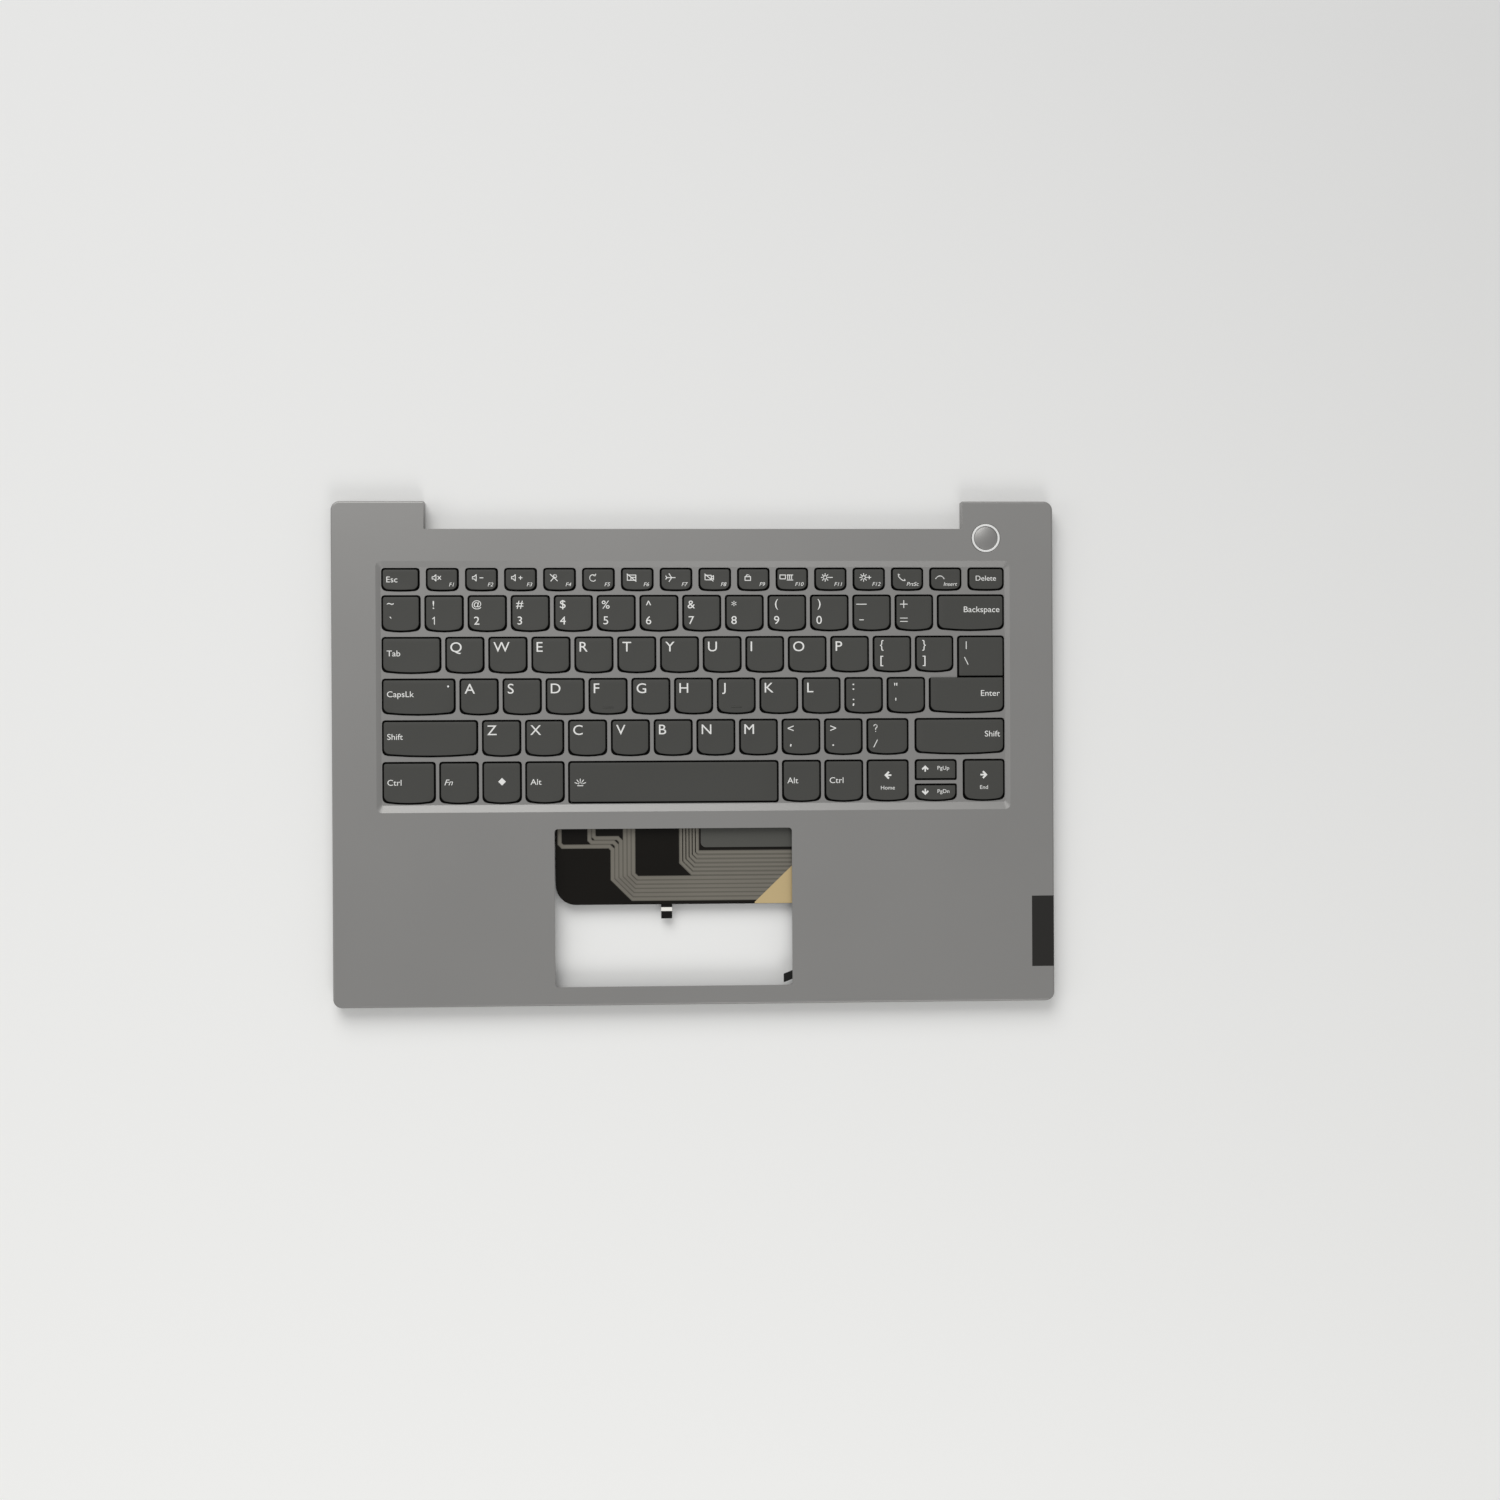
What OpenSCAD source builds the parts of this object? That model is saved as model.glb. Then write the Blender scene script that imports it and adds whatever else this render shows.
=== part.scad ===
// Upper case of a 14-inch laptop with its keyboard, lying flat with the keys up.
// Millimetres. The origin is under the middle of the case, on the plane of its rim:
// +X right, +Y towards the screen hinges, +Z up through the keys.

/* [Case] */
// Width of the case from left to right
case_w = 322; // [318:0.5:340]
// Depth of the case from front to rear
case_d = 224.6; // [222:0.2:240]
// Height of the deck above the rim
case_h = 8.6; // [8.4:0.1:12]
// Thickness of the deck
deck_t = 1.2; // [1:0.1:1.5]
// Thickness of the turned-down walls
wall_t = 1.2; // [0.8:0.1:2]
// Radius of the four outer corners
corner_r = 4; // [2.5:0.5:8]
// Radius that rounds the upper outer edge
edge_r = 0.8; // [0.4:0.1:1]
// Width of each rear post beside the hinge notch
post_w = 40.8; // [36:0.2:44]
// Depth of the hinge notch between the posts
notch_d = 12.4; // [8:0.2:14]

/* [Keyboard well] */
// How far the well lies below the deck
well_drop = 0.9; // [0.5:0.1:1.1]
// Thickness of the strips between the keys
web_t = 0.9; // [0.7:0.1:1.1]
// Strip between the end keys and the side of the well
well_side = 1.9; // [1.2:0.1:3]
// Strip between the rear keys and the rear of the well
well_rear = 2.4; // [1.2:0.1:4]
// Strip between the bulge of the front keys and the foot of the ramp
well_front = 0.3; // [0.2:0.1:2]
// Width of the sloped ramp along the front of the well
ramp_w = 3.3; // [1.5:0.1:5]
// Width of the steep step along the other sides
step_w = 0.5; // [0.2:0.1:1.2]
// Corner radius of the well
well_r = 2; // [1:0.5:4]

/* [Key field] */
// Strip of deck between the side of the case and the keys
deck_side = 22; // [18:0.5:30]
// Rear edge of the field, measured from the rear of the case
field_rear = 29.6; // [28:0.2:34]
// Distance from one row to the next
row_pitch = 18.48; // [18:0.02:19]
// Strip between two keys of a row
web_w = 1.55; // [1.2:0.05:2]
// Strip between two rows
row_web = 1.9; // [1.5:0.1:2.5]
// Depth of the openings of the function row
function_d = 10.6; // [9.5:0.1:11]
// Strip between the function row and the number row
function_web = 1.5; // [1.2:0.1:2.5]
// Strip between two keys of the function row
function_gap = 2.62; // [2:0.02:3]
// Width of the opening of the Esc key
esc_w = 17.05; // [16:0.05:18]
// Width of the opening of the Delete key
delete_w = 16.55; // [16:0.05:18]
// Depth of the openings of the front row
front_d = 19.05; // [17:0.05:20]
// Width of the first key of the number row
grave_w = 17.4; // [16:0.1:18]
// Width of the Backspace key
backspace_w = 30.45; // [28:0.05:32]
// Width of the Tab key
tab_w = 26.45; // [24:0.05:28]
// Width of the CapsLk key
caps_w = 32.65; // [30:0.05:34]
// Width of the left Shift key
shift_w = 42.5; // [40:0.05:44]
// Width of the left Ctrl key
ctrl_w = 23.7; // [20:0.1:25]
// Width of the small keys of the front row
small_w = 17.6; // [16:0.1:18]
// Strip between two keys of the front row
front_gap = 1.4; // [1.2:0.05:2]
// Strip between two arrow keys
arrow_gap = 2.6; // [2:0.1:3]
// Strip between the up and the down key
arrow_web = 1.5; // [1.2:0.1:2]
// How far this strip lies in front of the middle of the row
arrow_drop = 0.7; // [0:0.1:1]

/* [Keycaps] */
// Height of the key tops above the strips
key_stand = 0.8; // [0.4:0.1:1]
// Height of a keycap from skirt to top
cap_h = 2; // [1.6:0.1:2.2]
// Thickness of the top of a keycap
cap_top_t = 0.9; // [0.6:0.1:1]
// Thickness of the skirt of a keycap
cap_wall = 0.8; // [0.6:0.1:1]
// Clearance between a keycap and the edge of its opening
key_gap = 0.3; // [0.2:0.05:0.4]
// How far a key goes down
key_travel = 1.3; // [0.8:0.1:1.4]
// Rise of the curved front edge of a letter key
bulge = 0.95; // [0.2:0.05:1.2]
// Rise of the curved front edge of a function key
function_bulge = 0.5; // [0.1:0.05:0.8]
// Radius of the rear corners of a key opening
rear_r = 1.3; // [0.8:0.1:1.6]
// Radius of the front corners of a key opening
front_r = 2.4; // [1.5:0.1:2.8]
// Radius of the corners where two keys lie close together
join_r = 0.7; // [0.5:0.1:1]
// Width of the bevel round the top of a keycap
cap_bevel_w = 0.3; // [0.1:0.05:0.4]
// Height of the bevel round the top of a keycap
cap_bevel_h = 0.3; // [0.1:0.05:0.5]
// How far the skirt leans inwards
cap_draft = 0.1; // [0:0.05:0.2]

/* [Keyboard layers] */
// Gap under a fully pressed keycap
press_gap = 0.15; // [0.1:0.05:0.3]
// Thickness of the contact membrane
membrane_t = 0.3; // [0.2:0.05:0.4]
// Thickness of the steel base plate
plate_t = 0.45; // [0.3:0.05:0.6]
// Thickness of the light guide under the plate
light_t = 0.3; // [0.2:0.05:0.4]
// How far the layers reach past the keys
layer_rim = 1.6; // [1.2:0.1:2]
// Thickness of the scissor links
link_t = 0.7; // [0.5:0.05:0.8]
// Width of the bars of the scissor links
link_bar = 0.9; // [0.7:0.05:1]
// Width of the bars under the half-height arrow keys
half_bar = 0.55; // [0.4:0.05:0.6]
// Width of the outer scissor link
link_w = 9.4; // [9:0.1:10]
// Length of a scissor link under a letter key
link_l = 10; // [8:0.1:10.6]
// Clearance round the moving pieces of a key
link_gap = 0.12; // [0.08:0.01:0.2]
// Thickness of the upright tabs that hold the links
tab_t = 0.4; // [0.3:0.05:0.5]
// Height of the tabs above the membrane
tab_h = 0.75; // [0.5:0.05:0.9]
// Radius of the foot of a rubber dome
dome_r = 2.4; // [2:0.1:2.5]
// Wall of a rubber dome
dome_t = 0.35; // [0.25:0.05:0.4]
// Height of the solid head of a rubber dome
dome_head_t = 1; // [0.6:0.1:1.2]
// Radius of a riveted stake
stake_r = 0.6; // [0.4:0.05:0.65]
// Radius of the head of a stake
stake_head_r = 1.2; // [1:0.1:1.5]
// Height of the head of a stake
stake_head_t = 0.4; // [0.3:0.05:0.6]
// Clearance of a stake in its holes
stake_gap = 0.12; // [0.05:0.01:0.2]
// Radius of the wire of a stabiliser
wire_r = 0.35; // [0.3:0.05:0.4]
// Length of the bent ends of a stabiliser
wire_arm = 3.2; // [2.5:0.1:4]
// Distance of the bent ends from the sides of the key
wire_end = 4; // [3:0.1:6]

/* [Touchpad opening] */
// Width of the opening
pad_w = 105.8; // [100:0.2:110]
// Depth of the opening
pad_d = 70.4; // [62:0.2:72]
// Middle of the opening, left of the middle of the case
pad_left = 10.1; // [6:0.1:14]
// Strip of deck in front of the opening
pad_front = 8.3; // [7:0.1:10]
// Corner radius of the opening
pad_r = 1.5; // [1:0.1:3]

/* [Flat cables] */
// How far the tail of the membrane reaches past the layers
tail_l = 43.7; // [30:0.1:50]
// Gap between the left edge of the opening and the tail
tail_side = 0.3; // [0:0.1:1]
// Width of the tail
tail_w = 124; // [116:1:130]
// Corner radius of the tail
tail_r = 9; // [5:0.5:12]
// How far the cover strip reaches in front of the key layers
strip_l = 18.3; // [12:0.1:20]
// Left end of the cover strip, measured from the middle of the opening
strip_off = 12.2; // [8:0.1:16]
// Corner radius of the cover strip
strip_r = 2.3; // [1:0.1:3]
// Thickness of the cover strip on the tail
strip_t = 0.3; // [0.2:0.05:0.5]
// Thickness of the tape on the tail
tape_t = 0.15; // [0.1:0.05:0.3]
// Width of the tape along the front edge of the tail
tape_w = 20.6; // [16:0.1:26]
// Length of the tape along its right edge
tape_l = 20.5; // [18:0.5:26]
// How far the tape reaches under the deck
tape_over = 4; // [2:0.1:6]
// Distance of the tape from the front edge of the tail
tape_edge = 0.1; // [0.1:0.1:1]
// Height of the short upright edge at the left foot of the tape
tape_foot = 0.6; // [0.3:0.1:3]
// Middle of the tail of the light guide, left of the middle of the opening
light_tail_off = 3.2; // [0:0.1:8]
// Width of the tail of the light guide
light_tail_w = 4.9; // [4:0.1:8]
// How far the tail of the light guide reaches past the membrane tail
light_tail_l = 6.4; // [5:0.1:10]
// Thickness of the foam under the deck
foam_t = 0.8; // [0.5:0.1:1.5]
// Width of the foam
foam_w = 4.8; // [3:0.1:8]
// Length of the foam along its left edge
foam_l = 3.9; // [2:0.1:6]
// How far the slanted ends of the foam climb to the right
foam_slant = 1.9; // [0:0.1:4]
// How far the foam shows in the opening
foam_show = 3.9; // [1:0.1:5]
// Distance of the foam from the front edge of the opening
foam_front = 1; // [0.5:0.1:4]

/* [Power button] */
// Middle of the button, measured from the right side of the case
button_side = 30.2; // [28:0.1:33]
// Middle of the button, measured from the rear of the case
button_rear = 16.5; // [15:0.1:18]
// Radius of the button
button_r = 5.2; // [4:0.1:5.5]
// Width of the bright ring round the button
ring_w = 0.95; // [0.7:0.05:1.2]
// Clearance between the button and its ring
ring_gap = 0.15; // [0.12:0.01:0.25]
// Width of the flange round the foot of the ring
ring_flange_w = 1.1; // [0.8:0.1:1.4]
// Clearance between the ring and the deck
ring_fit = 0.1; // [0.05:0.05:0.2]
// Width of the bevel of the hole round the ring
ring_bevel = 0.3; // [0.1:0.05:0.4]
// How far the ring stands out of the deck
ring_stand = 0.1; // [0:0.05:0.3]
// Thickness of the flanges of ring and button
flange_t = 0.5; // [0.4:0.05:0.7]
// How far the button lies below the deck
button_sink = 0.1; // [0:0.05:0.3]
// Width of the flange round the foot of the button
button_flange_w = 0.65; // [0.5:0.05:0.9]
// Clearance between the flanges of ring and button
button_fit = 0.1; // [0.05:0.05:0.2]
// Length of the stem under the button
stem_l = 0.3; // [0.2:0.05:0.5]
// Radius of the stem
stem_r = 1.5; // [1:0.1:2]
// How far the button goes down
button_travel = 0.25; // [0.15:0.05:0.3]
// Clearance between the pressed stem and the switch
switch_gap = 0.05; // [0.02:0.01:0.1]
// Height of the switch with its plunger
switch_h = 1; // [0.8:0.1:1.2]
// Width of the body of the switch
switch_w = 4.4; // [3:0.1:5]
// Radius of the plunger
plunger_r = 1.2; // [0.8:0.1:1.4]
// Height of the plunger above the switch
plunger_h = 0.3; // [0.2:0.05:0.5]
// Thickness of the switch board
board_t = 0.8; // [0.6:0.1:1]
// Width of the switch board
board_w = 23.6; // [22:0.1:26]
// Right edge of the switch board, measured from the middle of the button
board_reach = 15.3; // [14:0.1:17]
// Depth of the switch board
board_d = 10.8; // [9:0.1:12]
// Distance of the board's screws from its right edge
board_edge = 2.5; // [2:0.1:3]
// Distance between the two bosses of the board
board_pitch = 6.4; // [5:0.1:7]
// Radius of these bosses
board_boss_r = 2; // [1.5:0.1:2.2]

/* [Name plate] */
// Width of the bare plate
badge_w = 10.1; // [8:0.1:12]
// Length of the bare plate
badge_l = 31.7; // [25:0.1:40]
// Front end of the plate, measured from the front of the case
badge_front = 15.6; // [12:0.1:30]
// Depth of the recess of the plate
badge_t = 0.35; // [0.2:0.05:0.6]

/* [Frame and screws] */
// Thickness of the inner frame
frame_t = 1.2; // [0.8:0.1:1.5]
// Clearance between the inner frame and the walls
frame_fit = 0.2; // [0.1:0.05:0.4]
// Clearance between the inner frame and the flange of the ring
flange_fit = 0.4; // [0.3:0.05:0.6]
// Clearance between the inner frame and what it goes round
frame_gap = 1.2; // [0.5:0.1:1.5]
// Width of the ribs of the inner frame
rib_w = 3; // [2:0.1:4]
// Radius of the screw bosses
boss_r = 3; // [2.6:0.1:3.2]
// Gap between a boss and the plane of the rim
boss_lift = 1.2; // [0.8:0.1:2]
// Distance of the outer cover screws from the sides of the case
cover_side = 9; // [7:0.1:12]
// Distance of the cover screws from the front and the rear of the case
cover_end = 8.3; // [7:0.1:10]
// Distance of the inner cover screws from the middle
inner_x = 75; // [72:0.5:90]
// Distance of the first hinge screw from the side of the notch
hinge_side = 4.2; // [3.5:0.1:6]
// Distance between the two hinge screws
hinge_pitch = 12; // [8:0.5:14]
// Gap between a boss and the pockets of the frame
pocket_gap = 1; // [0.5:0.1:2]
// Radius of the threaded inserts
insert_r = 1.75; // [1.5:0.05:2]
// Length of the threaded inserts
insert_l = 3.5; // [2.5:0.1:4]
// Depth of the hole above each insert
insert_over = 0.3; // [0.1:0.1:1]
// Play of the inserts in their bosses
insert_fit = 0.03; // [0.01:0.01:0.05]
// Radius of the thread of the case screws
thread_r = 0.8; // [0.7:0.05:1]
// Radius of the touchpad bosses
pad_boss_r = 2.3; // [2:0.1:2.5]
// How far the touchpad bosses stand below the frame
pad_boss_h = 1.6; // [1:0.1:2]
// Depth of the screw holes in the touchpad bosses
pad_hole_l = 2.4; // [1.8:0.1:2.8]
// Distance of the front touchpad bosses from the front of the case
pad_boss_front = 13; // [11:0.1:20]
// Distance of the rear touchpad bosses from the end of the tail
pad_boss_rear = 5.6; // [5:0.1:8]

/* [Hidden] */
eps = 0.01;
// Smallest radius of an outline that is moved inwards
least_r = 0.3;
// Columns of a key: name, left, right, front, rear, bulge, rear corner radius, front corner radius
NAME = 0;
LEFT = 1;
RIGHT = 2;
FRONT = 3;
REAR = 4;
BULGE = 5;
REAR_R = 6;
FRONT_R = 7;

// Heights, from the deck down to the lowest keyboard layer
z_under = case_h - deck_t;
z_web = case_h - well_drop;
z_web_under = z_web - web_t;
z_cap = z_web + key_stand;
z_ceiling = z_cap - cap_top_t;
z_skirt = z_cap - cap_h;
z_membrane = z_skirt - key_travel - press_gap;
z_plate = z_membrane - membrane_t;
z_light = z_plate - plate_t;
z_bottom = z_light - light_t;

// Width of the key field, and what the named end keys and strips leave for the others
field_w = case_w - 2 * deck_side;
key_pitch = (field_w - grave_w - backspace_w - web_w) / 12;
function_w = (field_w - esc_w - delete_w - 15 * function_gap) / 14;
arrow_w = (field_w - shift_w - 9 * key_pitch - web_w - 2 * arrow_gap) / 3;

// Edges of the key field, the well, the notch and the touchpad opening
field_y1 = case_d / 2 - field_rear;
number_y1 = field_y1 - function_d - function_web;
row_d = row_pitch - row_web;
front_y1 = number_y1 - 4 * row_pitch;
field_y0 = front_y1 - front_d;
well_x = field_w / 2 + well_side;
well_y0 = field_y0 - well_front;
well_y1 = field_y1 + well_rear;
well_d = well_y1 - well_y0;
notch_y = case_d / 2 - notch_d;
pad_x = -pad_left;
pad_y = -case_d / 2 + pad_front + pad_d / 2;
layer_x = field_w / 2 + layer_rim;
layer_y0 = field_y0 - layer_rim;
layer_y1 = field_y1 + layer_rim;
button_x = case_w / 2 - button_side;
button_y = case_d / 2 - button_rear;
ring_r = button_r + ring_gap + ring_w;
ring_flange_r = ring_r + ring_flange_w;
ring_z = z_under - flange_t;
tail_x = pad_x - pad_w / 2 + tail_side;
tail_y = layer_y0 - tail_l;

// Widths of the keys of each row, from left to right; the last key ends the row
function fill(first, unit, count, gap) =
    concat([first], [for (i = [1:count]) unit], [field_w - first - count * unit - (count + 1) * gap]);

// Keys of one row: name, left edge and right edge of the opening
function row_keys(names, widths, gap, x, i = 0) =
    i == len(names) ? [] :
    concat([[names[i], x, x + widths[i]]], row_keys(names, widths, gap, x + widths[i] + gap, i + 1));

// Adds the front and rear edge, the bulge and the corner radii to the keys of a row
function placed(keys, y0, y1, sag, rear = rear_r, front = front_r) =
    [for (k = keys) concat(k, [y0, y1, sag, rear, front])];

key_w = key_pitch - web_w;
field_x = -field_w / 2;
arrow_x = field_w / 2 - 3 * arrow_w - 2 * arrow_gap;
space_w = arrow_x - field_x - ctrl_w - 5 * small_w - 7 * front_gap;

function_keys = placed(
    row_keys(["esc", "f1", "f2", "f3", "f4", "f5", "f6", "f7", "f8", "f9", "f10", "f11", "f12",
              "print", "insert", "delete"],
             fill(esc_w, function_w, 14, function_gap), function_gap, field_x),
    field_y1 - function_d, field_y1, function_bulge);

number_keys = placed(
    row_keys(["grave", "1", "2", "3", "4", "5", "6", "7", "8", "9", "0", "minus", "equals", "backspace"],
             fill(grave_w, key_w, 12, web_w), web_w, field_x),
    number_y1 - row_d, number_y1, bulge);

upper_y1 = number_y1 - row_pitch;
upper_keys = placed(
    row_keys(["tab", "q", "w", "e", "r", "t", "y", "u", "i", "o", "p", "left_bracket", "right_bracket"],
             fill(tab_w, key_w, 12, web_w), web_w, field_x),
    upper_y1 - row_d, upper_y1, bulge);
backslash_x = field_x + tab_w + 12 * key_pitch + web_w;
backslash_key = [["backslash", backslash_x, field_w / 2, upper_y1 - row_pitch + row_web / 4, upper_y1,
                  0, rear_r, join_r]];

home_y1 = number_y1 - 2 * row_pitch;
home_keys = placed(
    row_keys(["caps", "a", "s", "d", "f", "g", "h", "j", "k", "l", "semicolon", "quote"],
             fill(caps_w, key_w, 11, web_w), web_w, field_x),
    home_y1 - row_d, home_y1, bulge);
enter_x = field_x + caps_w + 11 * key_pitch + web_w;
enter_y1 = home_y1 - row_web / 4;
enter_key = [["enter", enter_x, field_w / 2, home_y1 - row_d, enter_y1, bulge, join_r, front_r]];

lower_y1 = number_y1 - 3 * row_pitch;
lower_keys = placed(
    concat(row_keys(["left_shift", "z", "x", "c", "v", "b", "n", "m", "comma", "period"],
                    fill(shift_w, key_w, 9, web_w), web_w, field_x),
           [["slash", arrow_x, arrow_x + arrow_w],
            ["right_shift", arrow_x + arrow_w + arrow_gap, field_w / 2]]),
    lower_y1 - row_d, lower_y1, bulge);

front_keys = placed(
    concat(row_keys(["left_ctrl", "fn", "system", "left_alt", "space", "right_alt", "right_ctrl"],
                    [ctrl_w, small_w, small_w, small_w, space_w, small_w, small_w], front_gap, field_x),
           [["left", arrow_x, arrow_x + arrow_w],
            ["right", field_w / 2 - arrow_w, field_w / 2]]),
    field_y0, front_y1, bulge);
arrow_mid_x = arrow_x + arrow_w + arrow_gap;
arrow_split = (field_y0 + front_y1) / 2 - arrow_drop;
up_y0 = arrow_split + arrow_web / 2;
down_y1 = arrow_split - arrow_web / 2;
half_keys = [
    ["up", arrow_mid_x, arrow_mid_x + arrow_w, up_y0, front_y1, 0, rear_r, join_r],
    ["down", arrow_mid_x, arrow_mid_x + arrow_w, field_y0, down_y1, bulge, join_r, front_r]
];

// The space bar has a straight front edge
function straight(k) = [k[NAME], k[LEFT], k[RIGHT], k[FRONT], k[REAR], 0, rear_r, rear_r];
all_keys = [for (k = concat(function_keys, number_keys, upper_keys, backslash_key, home_keys,
                            enter_key, lower_keys, front_keys, half_keys))
            k[NAME] == "space" ? straight(k) : k];

// Keys that have a node and a slide of their own; the others share one node
sprung = ["1", "2", "3", "4", "5", "6", "7", "8", "9", "0",
          "q", "w", "e", "r", "t", "y", "u", "i", "o", "p",
          "a", "s", "d", "f", "g", "h", "j", "k", "l",
          "z", "x", "c", "v", "b", "n", "m",
          "backspace", "enter", "left_shift", "space"];
function is_sprung(k) = len([for (s = sprung) if (s == k[NAME]) s]) > 0;
fixed_keys = [for (k = all_keys) if (!is_sprung(k)) k];
function find_key(name) = [for (k = all_keys) if (k[NAME] == name) k][0];

// Middle and size of the opening of a key
function mid_x(k) = (k[LEFT] + k[RIGHT]) / 2;
function mid_y(k) = (k[FRONT] + k[REAR]) / 2;
function span_x(k) = k[RIGHT] - k[LEFT];
function span_y(k) = k[REAR] - k[FRONT];
function is_half(k) = span_y(k) < function_d;

// Steps along each rear corner, each front corner and the front edge of a key
rear_steps = 2;
front_steps = 3;
edge_steps = 4;

// Outline of a key opening, moved inwards by d: rounded rear corners, and a front
// edge that bulges as a shallow parabola between two larger corners
function key_outline(k, d) =
    let (x0 = k[LEFT] + d, x1 = k[RIGHT] - d, y0 = k[FRONT] + d, y1 = k[REAR] - d)
    let (w = x1 - x0, xm = (x0 + x1) / 2)
    let (rr = max(k[REAR_R] - d, least_r), fr = max(k[FRONT_R] - d, least_r))
    let (tilt = atan(8 * k[BULGE] * (w / 2 - fr) / (w * w)))
    let (xj = x0 + fr * (1 - sin(tilt)))
    let (yj = y0 + k[BULGE] * pow(2 * (xj - xm) / w, 2))
    let (yc = yj + fr * cos(tilt), turn = 90 - tilt)
    concat(
        [for (i = [0:rear_steps]) let (a = 90 * i / rear_steps)
            [x1 - rr + rr * cos(a), y1 - rr + rr * sin(a)]],
        [for (i = [0:rear_steps]) let (a = 90 + 90 * i / rear_steps)
            [x0 + rr + rr * cos(a), y1 - rr + rr * sin(a)]],
        [for (i = [0:front_steps]) let (a = 180 + turn * i / front_steps)
            [x0 + fr + fr * cos(a), yc + fr * sin(a)]],
        [for (i = [1:edge_steps - 1]) let (x = xj + 2 * (xm - xj) * i / edge_steps)
            [x, y0 + k[BULGE] * pow(2 * (x - xm) / w, 2)]],
        [for (i = [0:front_steps]) let (a = 270 + tilt + turn * i / front_steps)
            [x1 - fr + fr * cos(a), yc + fr * sin(a)]]);

// Solid between a stack of outlines that have as many points each
module loft(rings, heights) {
    n = len(rings[0]);
    top = (len(rings) - 1) * n;
    polyhedron(
        points = [for (j = [0:len(rings) - 1]) for (p = rings[j]) [p[0], p[1], heights[j]]],
        faces = concat(
            [[for (i = [0:n - 1]) i]],
            [for (j = [0:len(rings) - 2]) for (i = [0:n - 1]) let (m = (i + 1) % n)
                [j * n + i, (j + 1) * n + i, (j + 1) * n + m, j * n + m]],
            [[for (i = [0:n - 1]) top + n - 1 - i]]));
}

module rounded_rect(w, d, r) {
    square([w - 2 * r, d], center = true);
    square([w, d - 2 * r], center = true);
    for (x = [-1, 1]) {
        for (y = [-1, 1]) {
            translate([x * (w / 2 - r), y * (d / 2 - r)]) circle(r, $fn = 48);
        }
    }
}

// Plan of the case moved inwards by d, with the notch for the screen hinges
module case_plan(d) {
    difference() {
        rounded_rect(case_w - 2 * d, case_d - 2 * d, max(corner_r - d, least_r));
        translate([0, notch_y - d + case_d / 2])
            square([case_w - 2 * post_w + 2 * d, case_d], center = true);
    }
}

// The whole case as one block with its upper edge rounded
module case_block() {
    steps = 4;
    intersection() {
        hull() {
            for (i = [0:steps]) {
                inset = edge_r * (1 - cos(90 * i / steps));
                linear_extrude(case_h - edge_r * (1 - sin(90 * i / steps)))
                    hull() rounded_rect(case_w - 2 * inset, case_d - 2 * inset, corner_r - inset, $fn = 32);
            }
        }
        linear_extrude(case_h) case_plan(0);
    }
}

// Space cut out above the well, with its ramp in front and a steep step elsewhere
module well_space() {
    hull() {
        translate([0, (well_y0 + well_y1) / 2, z_web])
            linear_extrude(eps) rounded_rect(2 * well_x, well_d, well_r, $fn = 24);
        translate([0, (well_y0 - ramp_w + well_y1 + step_w) / 2, case_h])
            linear_extrude(eps)
                rounded_rect(2 * (well_x + step_w), well_d + ramp_w + step_w, well_r + step_w, $fn = 24);
    }
}

// Openings of all keys; the one above Enter runs into it, because no strip parts them
module key_openings() {
    for (k = all_keys) {
        polygon(key_outline(k, 0));
    }
    translate([backslash_x, home_y1 - row_web])
        square([field_w / 2 - backslash_x, 2 * row_web]);
}

module badge_space(d) {
    translate([case_w / 2 - badge_w - d, -case_d / 2 + badge_front - d, case_h - badge_t])
        cube([badge_w + 2 * d + eps, badge_l + 2 * d, badge_t + eps]);
}

module button_place() {
    translate([button_x, button_y]) children();
}

// Deck, walls and the strips between the keys, formed from one sheet
module top_case() {
    fit_r = ring_r + ring_fit;
    color([0.52, 0.51, 0.50])
    difference() {
        case_block();
        difference() {
            translate([0, 0, -eps]) linear_extrude(z_under + eps) case_plan(wall_t);
            translate([-well_x - deck_t, well_y0 - ramp_w - deck_t / 2, z_web_under])
                cube([2 * (well_x + deck_t), well_d + ramp_w + step_w + deck_t, case_h]);
        }
        well_space();
        translate([0, 0, z_web_under - eps]) linear_extrude(case_h) key_openings();
        translate([pad_x, pad_y]) linear_extrude(case_h + eps) rounded_rect(pad_w, pad_d, pad_r);
        badge_space(0);
        button_place() cylinder(h = case_h + eps, r = fit_r, $fn = 64);
        button_place() translate([0, 0, case_h - ring_bevel])
            cylinder(h = ring_bevel + eps, r1 = fit_r, r2 = fit_r + ring_bevel, $fn = 64);
    }
}

// Screw places of the bottom cover, the hinges and the touchpad
cover_x = case_w / 2 - cover_side;
cover_y = case_d / 2 - cover_end;
strip_y = (notch_y - wall_t + well_y1 + step_w + deck_t) / 2;
hinge_x = [for (i = [0, 1]) case_w / 2 - post_w - hinge_side - i * hinge_pitch];
cover_places = concat(
    [for (x = [-cover_x, cover_x]) for (y = [-cover_y, 0, cover_y]) [x, y]],
    [for (x = [-inner_x, inner_x]) for (y = [-cover_y, strip_y]) [x, y]]);
hinge_places = [for (s = [-1, 1]) for (x = hinge_x) [s * x, strip_y]];
pad_boss_x = pad_w / 2 + frame_gap + rib_w;
pad_boss_y1 = tail_y - pad_boss_rear;
pad_boss_y0 = -case_d / 2 + pad_boss_front;
pad_places = [for (x = [-pad_boss_x, pad_boss_x]) for (y = [pad_boss_y0, pad_boss_y1]) [pad_x + x, y]];
board_x1 = button_x + board_reach;
board_x = board_x1 - board_edge;
board_places = [for (s = [-1, 1]) [board_x, button_y + s * board_pitch / 2]];

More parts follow.
